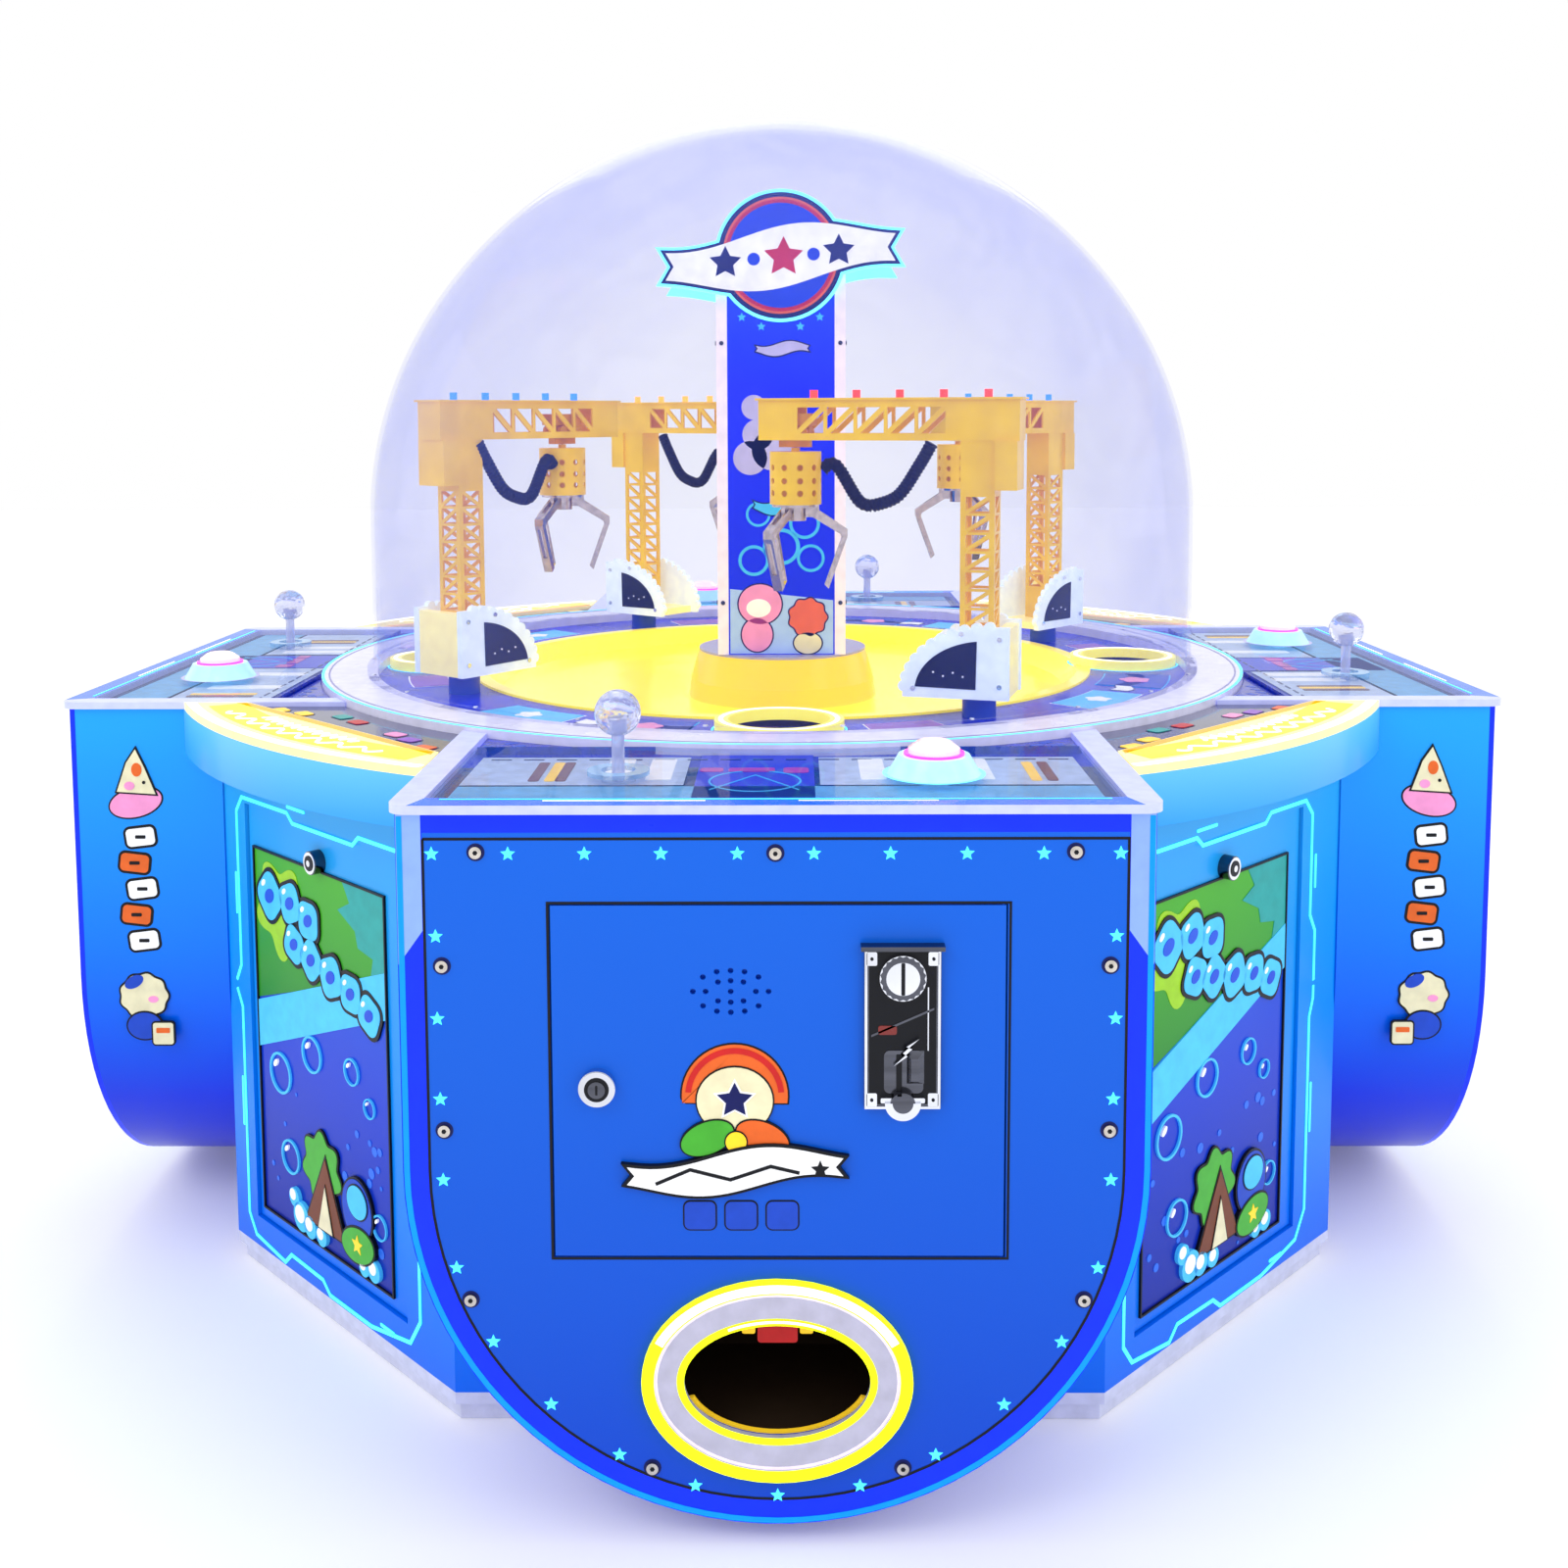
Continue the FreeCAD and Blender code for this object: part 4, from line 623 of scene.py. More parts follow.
def stroke(points, width, closed=False):
    """A line of even width along the points, with mitred corners."""
    count = len(points)
    left, right = [], []
    for i, point in enumerate(points):
        before = points[i - 1] if i or closed else None
        after = points[(i + 1) % count] if i < count - 1 or closed else None
        way_in = (Vector(point) - Vector(before)).normalized() if before is not None else None
        way_out = (Vector(after) - Vector(point)).normalized() if after is not None else None
        way_in, way_out = way_in or way_out, way_out or way_in
        middle = (way_in + way_out).normalized()
        normal = Vector((-middle.y, middle.x))
        miter = width / 2 / max(0.5, normal.dot(Vector((-way_in.y, way_in.x))))
        left.append(tuple(Vector(point) + normal * miter))
        right.append(tuple(Vector(point) - normal * miter))
    if closed:
        return ("loop", left, right)
    return left + right[::-1]


def turned(degrees):
    return Matrix.Rotation(math.radians(degrees), 4, "Z")


def face_frame(degrees, reach, side_wall=0):
    """Maps (across, up) on an upright face, reach from the centre, to the frame."""
    if side_wall:
        origin = Vector((side_wall * DRUM_HALF, 0, 0))
        u, n = Vector((0, side_wall, 0)), Vector((side_wall, 0, 0))
    else:
        origin, u, n = Vector((0, -reach, 0)), Vector((1, 0, 0)), Vector((0, -1, 0))
    turn = turned(degrees)
    return turn @ origin, turn @ u, Vector((0, 0, 1)), turn @ n


def flat_frame(degrees, height):
    """Maps (across, away from the centre) on a level deck to the frame."""
    turn = turned(degrees)
    return (Vector((0, 0, height)), turn @ Vector((1, 0, 0)), turn @ Vector((0, -1, 0)) * -1,
        Vector((0, 0, 1)))


def sticker(name, place, shapes, body="root", thick=THIN):
    """One thin piece of (material, layer, outline) shapes, for print and for painted shade lines;
    higher layers lie on top.
    """
    origin, u, v, n = place
    work = bmesh.new()
    slots = []
    for material, layer, outline in shapes:
        if material not in slots:
            slots.append(material)
        top = layer * LAYER + thick

        def spot(point, lift):
            return work.verts.new(origin + u * point[0] + v * point[1] + n * lift)

        made = []
        if outline and outline[0] == "loop":
            left = [(spot(p, top), spot(p, BURIED)) for p in outline[1]]
            right = [(spot(p, top), spot(p, BURIED)) for p in outline[2]]
            count = len(left)
            for i in range(count):
                j = (i + 1) % count
                made.append(work.faces.new((left[i][0], right[i][0], right[j][0], left[j][0])))
                made.append(work.faces.new((left[i][1], left[i][0], left[j][0], left[j][1])))
                made.append(work.faces.new((right[i][0], right[i][1], right[j][1], right[j][0])))
        else:
            upper = [spot(p, top) for p in outline]
            lower = [spot(p, BURIED) for p in outline]
            made.append(work.faces.new(upper))
            for i in range(len(upper)):
                j = (i + 1) % len(upper)
                made.append(work.faces.new((upper[i], lower[i], lower[j], upper[j])))
        for face in made:
            face.material_index = slots.index(material)
    bmesh.ops.recalc_face_normals(work, faces=work.faces)
    return add_mesh(name, work, [M[item] for item in slots], body)


def add_mesh(name, work, materials, body, smooth=False):
    mesh = bpy.data.meshes.new(name)
    work.to_mesh(mesh)
    work.free()
    for material in materials:
        mesh.materials.append(material)
    if smooth:
        for polygon in mesh.polygons:
            polygon.use_smooth = True
    piece = bpy.data.objects.new(name, mesh)
    scene.collection.objects.link(piece)
    if body:
        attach(piece, body)
    return piece


def outline_of_front(inset):
    """The U outline of a station's front, moved in by inset, from the top left corner."""
    half, top, middle = DRUM_HALF - inset, 0.664 - inset, 0.345
    points = [(-half, top), (-half, middle)]
    points += [(-half * math.cos(math.pi * i / 48), middle - half * math.sin(math.pi * i / 48))
        for i in range(1, 48)]
    return points + [(half, middle), (half, top)]


def prism(name, place, shapes, body="root"):
    """Solid plates: each (material, outline, low, high) is extruded along place's normal."""
    return plates(name, [(place, *shape) for shape in shapes], body)


def plates(name, shapes, body):
    """Solid plates that need not face the same way: (place, material, outline, low, high)."""
    work = bmesh.new()
    slots = []
    for (origin, u, v, n), material, outline, low, high in shapes:
        if material not in slots:
            slots.append(material)
        flat = [origin + u * p[0] + v * p[1] for p in outline]
        lower = [work.verts.new(point + n * low) for point in flat]
        upper = [work.verts.new(point + n * high) for point in flat]
        faces = [work.faces.new(upper), work.faces.new(lower[::-1])]
        for i in range(len(outline)):
            j = (i + 1) % len(outline)
            faces.append(work.faces.new((lower[i], lower[j], upper[j], upper[i])))
        for face in faces:
            face.material_index = slots.index(material)
    bmesh.ops.recalc_face_normals(work, faces=work.faces)
    return add_mesh(name, work, [M[item] for item in slots], body)


def tube(name, points, radius, material, body, ribs=0.0, pitch=0.004, sides=14):
    """A round tube along a smooth line, with ribs as a bellows hose has."""
    curve = [Vector(point) for point in points]
    line = []
    for i in range(len(curve) - 1):
        p0, p1 = curve[max(0, i - 1)], curve[i]
        p2, p3 = curve[i + 1], curve[min(len(curve) - 1, i + 2)]
        steps = max(4, int((p2 - p1).length / (pitch / 4))) if ribs else 8
        for k in range(steps):
            t = k / steps
            line.append(0.5 * ((2 * p1) + (p2 - p0) * t + (2 * p0 - 5 * p1 + 4 * p2 - p3) * t * t
                + (3 * p1 - p0 - 3 * p2 + p3) * t ** 3))
    line.append(curve[-1])
    work = bmesh.new()
    rings, run = [], 0.0
    for i, spot in enumerate(line):
        way = (line[min(i + 1, len(line) - 1)] - line[max(i - 1, 0)]).normalized()
        run += (spot - line[i - 1]).length if i else 0
        reach = radius + ribs * math.sin(2 * math.pi * run / pitch)
        side = way.orthogonal() if not rings else old_side - way * old_side.dot(way)
        side.normalize()
        old_side = side
        up = way.cross(side)
        rings.append([work.verts.new(spot + (side * math.cos(a) + up * math.sin(a)) * reach)
            for a in (2 * math.pi * k / sides for k in range(sides))])
    for one, two in zip(rings, rings[1:]):
        for k in range(sides):
            work.faces.new((one[k], one[(k + 1) % sides], two[(k + 1) % sides], two[k]))
    work.faces.new(rings[0][::-1])
    work.faces.new(rings[-1])
    return add_mesh(name, work, [M[material]], body, smooth=True)


# ---------------------------------------------------------------- station fronts

def star_places():
    places = [(-0.295 + 0.0656 * i, 0.6275) for i in range(10)]
    for side in (-1, 1):
        places += [(side * across, up) for across, up in ((0.293, 0.555), (0.293, 0.482),
            (0.292, 0.41), (0.291, 0.337), (0.281, 0.257), (0.25, 0.189), (0.2, 0.131),
            (0.14, 0.084), (0.073, 0.055))]
    return places + [(0, 0.046)]


def outlined(material, edge, points, width, layer):
    """A filled shape over a wider copy of itself."""
    return (edge, layer, grown(points, width)), (material, layer + 1, points)


def grown(points, width):
    """The outline moved outwards by width."""
    area = sum(a[0] * b[1] - b[0] * a[1] for a, b in zip(points, points[1:] + points[:1]))
    sign = 1 if area > 0 else -1
    result = []
    count = len(points)
    for i in range(count):
        before, here, after = points[i - 1], points[i], points[(i + 1) % count]
        a = Vector((here[1] - before[1], before[0] - here[0]))
        b = Vector((after[1] - here[1], here[0] - after[0]))
        if a.length < 1e-7 or b.length < 1e-7:
            result.append(here)
            continue
        a, b = a.normalized(), b.normalized()
        middle = (a + b).normalized() if (a + b).length > 1e-6 else a
        reach = sign * width / max(0.45, middle.dot(a))
        result.append((here[0] + middle.x * reach, here[1] + middle.y * reach))
    return result


def ribbon(x, y, half_wide, tall, wave, lift=0.0, count=28):
    """A waving banner with a notch in each end."""
    top, bottom = [], []
    for i in range(count + 1):
        s = -1 + 2 * i / count
        swell = tall * (0.72 + 0.28 * math.cos(math.pi * s))
        mid = y + wave * math.sin(math.pi * s) + lift * s
        top.append((x + half_wide * s, mid + swell / 2))
        bottom.append((x + half_wide * s, mid - swell / 2))
    right = [(x + half_wide * 0.93, (top[-1][1] + bottom[-1][1]) / 2)]
    left = [(x - half_wide * 0.93, (top[0][1] + bottom[0][1]) / 2)]
    return top + right + bottom[::-1] + left


def build_front(side):
    turn = SIDES[side]
    face = face_frame(turn, FACE)
    shapes = [("cyan", 0, star(x, z, 0.0066)) for x, z in star_places()]
    sticker("stars_" + side, face, shapes, "root", 0.0004)
    bolts = [(-0.257, 0.629), (0.257, 0.629), (0, 0.628), (-0.288, 0.529), (0.288, 0.529),
        (-0.289, 0.382), (0.289, 0.382), (-0.269, 0.228), (0.269, 0.228), (-0.111, 0.072),
        (0.111, 0.072)]
    sticker("bolt_shadows_" + side, face, [("navy", 0, circle(x, z, 0.0078, 20)) for x,
        z in bolts], "root", 0.0004)
    # Painted shade: a dark hexagon on each bolt head stands for the shade in its socket.
    heads = face_frame(turn, FACE + 0.003)
    sticker("bolt_socket_shade_" + side, heads, [("ink", 0, circle(x, z, 0.0022, 6)) for x, z in bolts])
    # Painted shade: the dark stroke round the coin door stands for the shade in the gap between
    # the door and the plate.
    edge = [(-0.1964, 0.2656), (0.2018, 0.2656), (0.2018, 0.5844), (-0.1964, 0.5844)]
    sticker("door_gap_shade_" + side, face, [("ink", 0, stroke(edge, 0.0022, True))])
    # Painted shade: the dark line round the front plate stands for the shade in the gap between
    # the plate and the band round it.
    plate = outline_of_front(0.0235)
    sticker("plate_gap_shade_" + side, face, [("ink", 0, stroke(plate + [plate[0]], 0.0024))])
    sticker("rim_glow_" + side, face, [("rim_glow", 0, stroke(outline_of_front(0.0035), 0.005))],
        "root", 0.0004)
    sticker("corner_glow_" + side, face, [("corner_glow", 0, [(s * 0.3255, 0.6635),
        (s * 0.304, 0.6635), (s * 0.304, 0.56), (s * 0.3255, 0.53)]) for s in (-1, 1)], "root",
        0.0002)
    build_emblem(side, face)
    build_coin_details(side, face)
    build_outlet(side)


def build_emblem(side, face):
    """A generic camping badge: a sun-red arch, a cream disc with a star, leaves and a ribbon."""
    x, z = BADGE
    shapes = [*outlined("orange", "ink", sector_band(x, z, 0.001, 0.046, -8,
        188)[:29] + [(x - 0.046, z - 0.006)], 0.0016, 0), ("red", 2, sector_band(x, z, 0.038,
        0.043, 5, 175)), *outlined("cream", "ink", ellipse(x, z - 0.004, 0.033, 0.03), 0.0014, 2),
        *outlined("navy", "white", star(x, z - 0.003, 0.016, 0.5), 0.0016, 4)]
    for side_way, tone in ((-1, "green"), (1, "orange")):
        shapes += [*outlined(tone, "ink", ellipse(x + side_way * 0.024, z - 0.037, 0.024, 0.014,
            side_way * -0.4), 0.0014, 4)]
    shapes += [*outlined("gold", "ink", ellipse(x + 0.001, z - 0.04, 0.009, 0.009), 0.0012, 6),
        *outlined("white", "ink", ribbon(-0.036, 0.347, 0.094, 0.036, 0.006, 0.004), 0.0028, 8),
        ("ink", 10, star(0.038, 0.349, 0.0085)), ("ink", 10, stroke([(-0.105, 0.336),
        (-0.075, 0.349), (-0.04, 0.34), (-0.005, 0.352), (0.02, 0.346)], 0.003))]
    for i in range(3):
        shapes += [*outlined("royal", "ink", rounded(-0.067 + 0.036 * i, 0.305, 0.0135, 0.0125,
            0.005), 0.0014, 0)]
    sticker("emblem_" + side, face, shapes, "coin_door_" + side)


def build_coin_details(side, face):
    body = "coin_door_" + side
    proud = face_frame(SIDES[side], FACE + 0.006)
    x, low, high = 0.109, 0.404, 0.549
    shapes = [("ink", 0, [(x - 0.029, low + 0.004), (x + 0.029, low + 0.004),
        (x + 0.029, high - 0.006), (x - 0.029, high - 0.006)])]
    edge = [(x - 0.0315, low + 0.001), (x + 0.0315, low + 0.001), (x + 0.0315, high - 0.004),
        (x - 0.0315, high - 0.004)]
    shapes += [("chrome", 1, stroke(edge, 0.0022, True))]
    for sx in (-1, 1):
        for z in (low + 0.008, high - 0.012):
            shapes += [("chrome", 1, rounded(x + sx * 0.0265, z, 0.0045, 0.006, 0.0015)),
                ("ink", 2, circle(x + sx * 0.0265, z, 0.0015, 12))]
    shapes += [("dark_chrome", 1, [(x - 0.027, 0.468), (x + 0.027, 0.492), (x + 0.027, 0.494),
        (x - 0.027, 0.47)]), ("red_window", 1, rounded(x - 0.013, 0.474, 0.008, 0.004, 0.002)),
        ("chrome", 1, stroke([(x + 0.022, 0.512), (x + 0.022, 0.456)], 0.001)),
        ("dark_chrome", 1, rounded(x + 0.001, 0.437, 0.017, 0.019, 0.005)),
        # The narrow dark bar in this plate is painted shade standing for the coin slot.
        ("ink", 2, rounded(x - 0.003, 0.436, 0.0025, 0.0165, 0.001))]
    sticker("coin_face_" + side, proud, shapes, body)
    lever = [(x + 0.014, 0.468), (x + 0.003, 0.461), (x + 0.008, 0.459), (x - 0.008, 0.444),
        (x + 0.004, 0.4525), (x, 0.4555)]
    prism("coin_lever_" + side, proud, [("chrome", lever, 0.001, 0.0055)], body)
    lip = sector_band(x, 0.412, 0.009, 0.0155, 180, 360)
    prism("coin_lip_" + side, proud, [("chrome", lip, 0.0, 0.0085), ("chrome",
        rounded(x, 0.4135, 0.019, 0.0022, 0.001), 0, 0.006)], body)
    knob = face_frame(SIDES[side], FACE + 0.011)
    teeth = [(SLOT[0] + (0.0198 if i % 2 else 0.0183) * math.cos(math.pi * i / 20),
        SLOT[1] + (0.0198 if i % 2 else 0.0183) * math.sin(math.pi * i / 20)) for i in range(40)]
    # The dark bar across the knob is painted shade standing for its coin slot.
    prism("coin_knob_" + side, knob, [("dark_chrome", teeth, -0.001, 0.0008),
        ("chrome", circle(*SLOT, 0.0145), 0.0, 0.0014), ("ink", rounded(*SLOT, 0.0017, 0.0142,
        0.001), 0.0, 0.0018)], body)
    ring = circle(*LOCK, 0.0155)
    lock = face_frame(SIDES[side], FACE + 0.008)
    # The narrow dark bar in the lock is painted shade standing for its keyway.
    prism("lock_" + side, lock, [("chrome", ring, -0.0005, 0.0012), ("ink", circle(*LOCK, 0.0108),
        0.0, 0.0016), ("dark_chrome", circle(*LOCK, 0.0075), 0.0, 0.0024),
        ("ink", rounded(*LOCK, 0.001, 0.0042, 0.0005), 0.0, 0.0027)], body)


def build_outlet(side):
    turn = SIDES[side]
    outer = face_frame(turn, FACE + 0.007)
    x, z = 0, OUTLET_HEIGHT

    def arc(wide, tall, start, end, count=40):
        return [(x + wide * math.cos(math.radians(start + (end - start) * i / count)),
            z + tall * math.sin(math.radians(start + (end - start) * i / count)))
            for i in range(count + 1)]

    sticker("outlet_hot_" + side, outer, [("hot_white", 0, stroke(arc(0.1135, 0.0865, 24, 156),
        0.0075))])
    band = face_frame(turn, FACE + 0.005)
    sticker("outlet_bevel_" + side, band, [("outlet_neon", 0, ("loop", arc(0.0885, 0.0585, 0, 354,
        59), arc(0.082, 0.052, 0, 354, 59))), ("hot_white", 1, stroke(arc(0.0855, 0.0555, 60, 120),
        0.002)), ("strip", 0, ("loop", arc(0.1086, 0.0816, 0, 354, 59), arc(0.1055, 0.0785, 0, 354,
        59)))])
    inside = face_frame(turn, FACE - 0.03)
    shapes = [("red", sector_scaled(x, z + 0.016, 0.058, 0.066, 8, 172, 0.62), 0, 0.003),
        ("red", rounded(x, z + 0.028, 0.018, 0.011, 0.003), 0, 0.002), ("gold",
        rounded(x - 0.026, z + 0.034, 0.006, 0.008, 0.002), 0, 0.003), ("gold",
        rounded(x + 0.026, z + 0.034, 0.006, 0.008, 0.002), 0, 0.003)]
    prism("outlet_art_" + side, inside, shapes)
    rim = face_frame(turn, FACE - 0.006)
    prism("outlet_arc_" + side, rim, [("gold", sector_scaled(x, z - 0.004, 0.079, 0.084, 200, 340,
        0.62), -0.004, 0)])


def sector_scaled(x, z, inner, outer, start, end, squash):
    return [(px, z + (pz - z) * squash) for px, pz in sector_band(x, z, inner, outer, start, end)]


# ---------------------------------------------------------------- drum sides

def build_drum_art(side):
    """A column of generic stickers on each side wall of a drum."""
    for wall in (-1, 1):
        name = "%s_%s" % (side, "left" if wall < 0 else "right")
        place = face_frame(SIDES[side], 0, wall)
        x = -0.752 * wall
        shapes = [*outlined("pink", "ink", ellipse(x, 0.553, 0.031, 0.017, 0.25 * wall), 0.002, 0),
            *outlined("cream", "ink", [(x - 0.021, 0.566), (x + 0.024, 0.563), (x + 0.012, 0.594),
            (x + 0.002, 0.616), (x - 0.009, 0.6)], 0.002, 2), ("orange", 4,
            ellipse(x + 0.003, 0.592, 0.006, 0.008)), ("pink", 4, ellipse(x - 0.006, 0.573, 0.006,
            0.005)), ("ink", 4, circle(x + 0.011, 0.577, 0.002, 10))]
        for i, tone in enumerate(("white", "orange", "white", "orange", "white")):
            z = 0.512 - 0.031 * i
            shapes += [*outlined(tone, "ink", rounded(x + 0.004 * (-1) ** i, z, 0.0165, 0.0105,
                0.005, 0.12 * (-1) ** i), 0.0032, 0), ("ink", 2, rounded(x + 0.004 * (-1) ** i, z,
                0.006, 0.002, 0.001))]
        shapes += [*outlined("cream", "ink", blob(x + 0.001, 0.321, 0.0275, 9, 0.04, squash=0.95),
            0.0024, 0), ("royal", 2, ellipse(x - 0.01, 0.338, 0.012, 0.007, 0.5)),
            ("pink", 2, ellipse(x + 0.012, 0.317, 0.006, 0.004)), *outlined("royal", "ink",
            ellipse(x + 0.001, 0.285, 0.02, 0.016), 0.002, 2), *outlined("cream", "ink",
            rounded(x + 0.023 * wall, 0.276, 0.012, 0.013, 0.003), 0.002, 4),
            ("orange", 6, rounded(x + 0.023 * wall, 0.28, 0.008, 0.003, 0.001))]
        sticker("drum_art_" + name, place, shapes)


# ---------------------------------------------------------------- diagonal faces

def build_diagonal(side):
    corner = CORNERS[side]
    turn = SIDES[side] - 45
    door = face_frame(turn, DIAGONAL - 0.004)
    left, right, low, high = -0.166, 0.115, 0.0835, 0.512
    shapes = [("door_deep", 0, [(left, low), (right, low), (right, high), (left, high)]),
        ("door_green", 1, [(left, 0.335), (right, 0.425), (right, high), (left, high)]),
        ("lime", 2, blob(left + 0.06, 0.45, 0.05, 5, 0.18, 0.3)), ("teal", 2,
        [(right, 0.405), (right, high), (0.03, high), (0.045, 0.49), (0.02, 0.478), (0.055, 0.462),
        (0.06, 0.445), (0.09, 0.44), (0.085, 0.42)]), ("sky", 3, [(left, 0.277), (right, 0.382),
        (right, 0.432), (left, 0.332)])]
    spots = [(-0.128, 0.462, 0.026), (-0.082, 0.463, 0.023), (-0.042, 0.452, 0.022),
        (-0.075, 0.418, 0.021), (-0.038, 0.409, 0.022), (0.004, 0.4, 0.023), (0.045, 0.392, 0.021),
        (0.082, 0.378, 0.021)]
    for i, (x, z, radius) in enumerate(spots):
        shapes += [("ink", 4, blob(x, z, radius + 0.0045, 4, 0.07, 0.4 * i))]
    for i, (x, z, radius) in enumerate(spots):
        shapes += [("sky", 5, blob(x, z, radius, 4, 0.07, 0.4 * i)), ("door_deep", 6,
            ellipse(x, z, radius * 0.42, radius * 0.3, 0.5)), ("white", 6,
            ellipse(x - radius * 0.5, z + radius * 0.5, radius * 0.2, radius * 0.12, 0.7))]
    for x, z, radius in ((-0.045, 0.30, 0.021), (-0.118, 0.258, 0.024), (0.04, 0.305, 0.015),
            (0.075, 0.275, 0.011), (-0.1, 0.165, 0.02), (0.09, 0.15, 0.014)):
        ring = circle(x, z, radius)
        inner = circle(x, z, radius * 0.88)
        shapes += [("sky", 4, ("loop", ring, inner)), ("white", 4, ellipse(x - radius * 0.4,
            z + radius * 0.4, radius * 0.25, radius * 0.13, 0.8))]
    build_camp(shapes)
    chance = random.Random(corner)
    for number in range(26):
        x, z = chance.uniform(left + 0.01, right - 0.01), chance.uniform(0.09, 0.25)
        shapes += [("blue_dot", 1, circle(x, z, chance.uniform(0.002, 0.006), 10))]
    sticker("door_art_" + corner, door, shapes, "side_door_" + corner)
    sticker("door_edge_" + corner, door, [("ink", 0, stroke([(left, low), (right, low),
        (right, high), (left, high)], 0.0022, True))], "side_door_" + corner, 0.0028)
    head = face_frame(turn, DIAGONAL + 0.008)
    prism("door_lock_" + corner, head, [("chrome", circle(*DOOR_LOCK, 0.012), -0.0005, 0.001),
        ("ink", circle(*DOOR_LOCK, 0.0085), 0, 0.0016), ("chrome", circle(*DOOR_LOCK, 0.0035), 0,
        0.0022)], "side_door_" + corner)
    build_tech_lines(corner, turn)


def build_camp(shapes):
    """A generic camp: a tent, a bush, a lantern and foam."""
    for x, z, radius in ((-0.075, 0.104, 0.017), (-0.055, 0.099, 0.013), (-0.09, 0.122, 0.011),
            (0.08, 0.099, 0.012), (0.06, 0.096, 0.01), (-0.03, 0.097, 0.011)):
        shapes += [("sky", 7, circle(x, z, radius, 20)), ("white", 8, circle(x - 0.002, z + 0.003,
            radius * 0.6, 18))]
    shapes += [*outlined("green", "ink", blob(-0.028, 0.175, 0.038, 7, 0.12, 0.2), 0.0025, 4),
        *outlined("brown", "ink", [(-0.062, 0.108), (0.02, 0.108), (-0.018, 0.19)], 0.0025, 6),
        *outlined("cream", "ink", [(-0.034, 0.108), (-0.004, 0.108), (-0.018, 0.158)], 0.0018, 8),
        *outlined("royal", "ink", ellipse(0.048, 0.155, 0.03, 0.034), 0.0025, 6),
        *outlined("sky", "ink", ellipse(0.05, 0.165, 0.02, 0.018), 0.0018, 8),
        *outlined("green", "ink", ellipse(0.05, 0.117, 0.033, 0.019, 0.2), 0.0025, 8),
        ("gold", 10, star(0.05, 0.118, 0.011))]


def build_tech_lines(corner, turn):
    """Cyan light lines that frame the diagonal face, with small slots beside them."""
    face = face_frame(turn, DIAGONAL)
    lines = [[(-0.212, 0.345), (-0.2, 0.365), (-0.2, 0.548), (-0.186, 0.566), (-0.08, 0.566),
        (-0.068, 0.556), (0.06, 0.556), (0.072, 0.566), (0.15, 0.566), (0.166, 0.548),
        (0.166, 0.43), (0.178, 0.41), (0.178, 0.351)], [(-0.212, 0.335), (-0.2, 0.315),
        (-0.2, 0.066), (-0.184, 0.044), (-0.115, 0.036), (-0.1, 0.05), (-0.029, 0.048),
        (-0.014, 0.036), (0.073, 0.036), (0.15, 0.05), (0.17, 0.08), (0.17, 0.31), (0.178, 0.33),
        (0.178, 0.345)]]
    shapes = [("cyan", 0, stroke(line, 0.0042)) for line in lines]
    for x, z, wide, tall in ((-0.206, 0.20, 0.0018, 0.03), (-0.206, 0.45, 0.0018, 0.025),
            (0.178, 0.2, 0.0018, 0.03), (0.176, 0.48, 0.0018, 0.02), (0.105, 0.046, 0.014, 0.0018),
            (-0.06, 0.573, 0.02, 0.0018)):
        shapes += [("cyan", 0, rounded(x, z, wide, tall, 0.0015))]
    sticker("tech_lines_" + corner, face, shapes, "root", 0.0008)


# ---------------------------------------------------------------- deck, ring and canopies

def polar(radius, degrees):
    angle = math.radians(degrees - 90)
    return (radius * math.cos(angle), radius * math.sin(angle))


def arc_line(radius, start, end, count=32):
    return [polar(radius, start + (end - start) * i / count) for i in range(count + 1)]


def build_canopy(side):
    corner = CORNERS[side]
    turn = SIDES[side] - 45
    top = flat_frame(turn, GLASS_TOP)
    squiggle, second = [], []
    for i in range(61):
        bearing = -12.5 + 25 * i / 60
        squiggle.append(polar(0.728 + 0.007 * math.sin(i * 0.9), bearing))
        second.append(polar(0.706 + 0.006 * math.sin(i * 1.3 + 1), bearing * 0.62))
    shapes = [("canopy_gold", 0, [(-0.193, -0.6715), (0.193, -0.6715), (0.2035, -0.682),
        (-0.2035, -0.682)]), ("hot_white", 0, stroke(arc_line(0.7575, -18.6, 18.6), 0.011)),
        ("lemon", 0, stroke(arc_line(0.722, -16.2, 16.2), 0.042)), ("hot_white", 1,
        stroke(squiggle, 0.0042)), ("hot_white", 1, stroke(second, 0.0036))]
    sticker("canopy_art_" + corner, top, shapes)
    tiles = flat_frame(turn, DECK + 0.003)
    shapes = []
    for x, y, tone in ((-0.15, -0.655, "gold"), (-0.11, -0.648, "gold"), (-0.02, -0.632, "red"),
            (0.07, -0.64, "pink"), (0.105, -0.645, "purple"), (-0.06, -0.628, "teal"),
            (0.15, -0.655, "orange")):
        shapes += [*outlined(tone, "navy", rounded(x, y, 0.012, 0.008, 0.004, x), 0.0016, 0)]
    sticker("corner_art_" + corner, tiles, shapes)


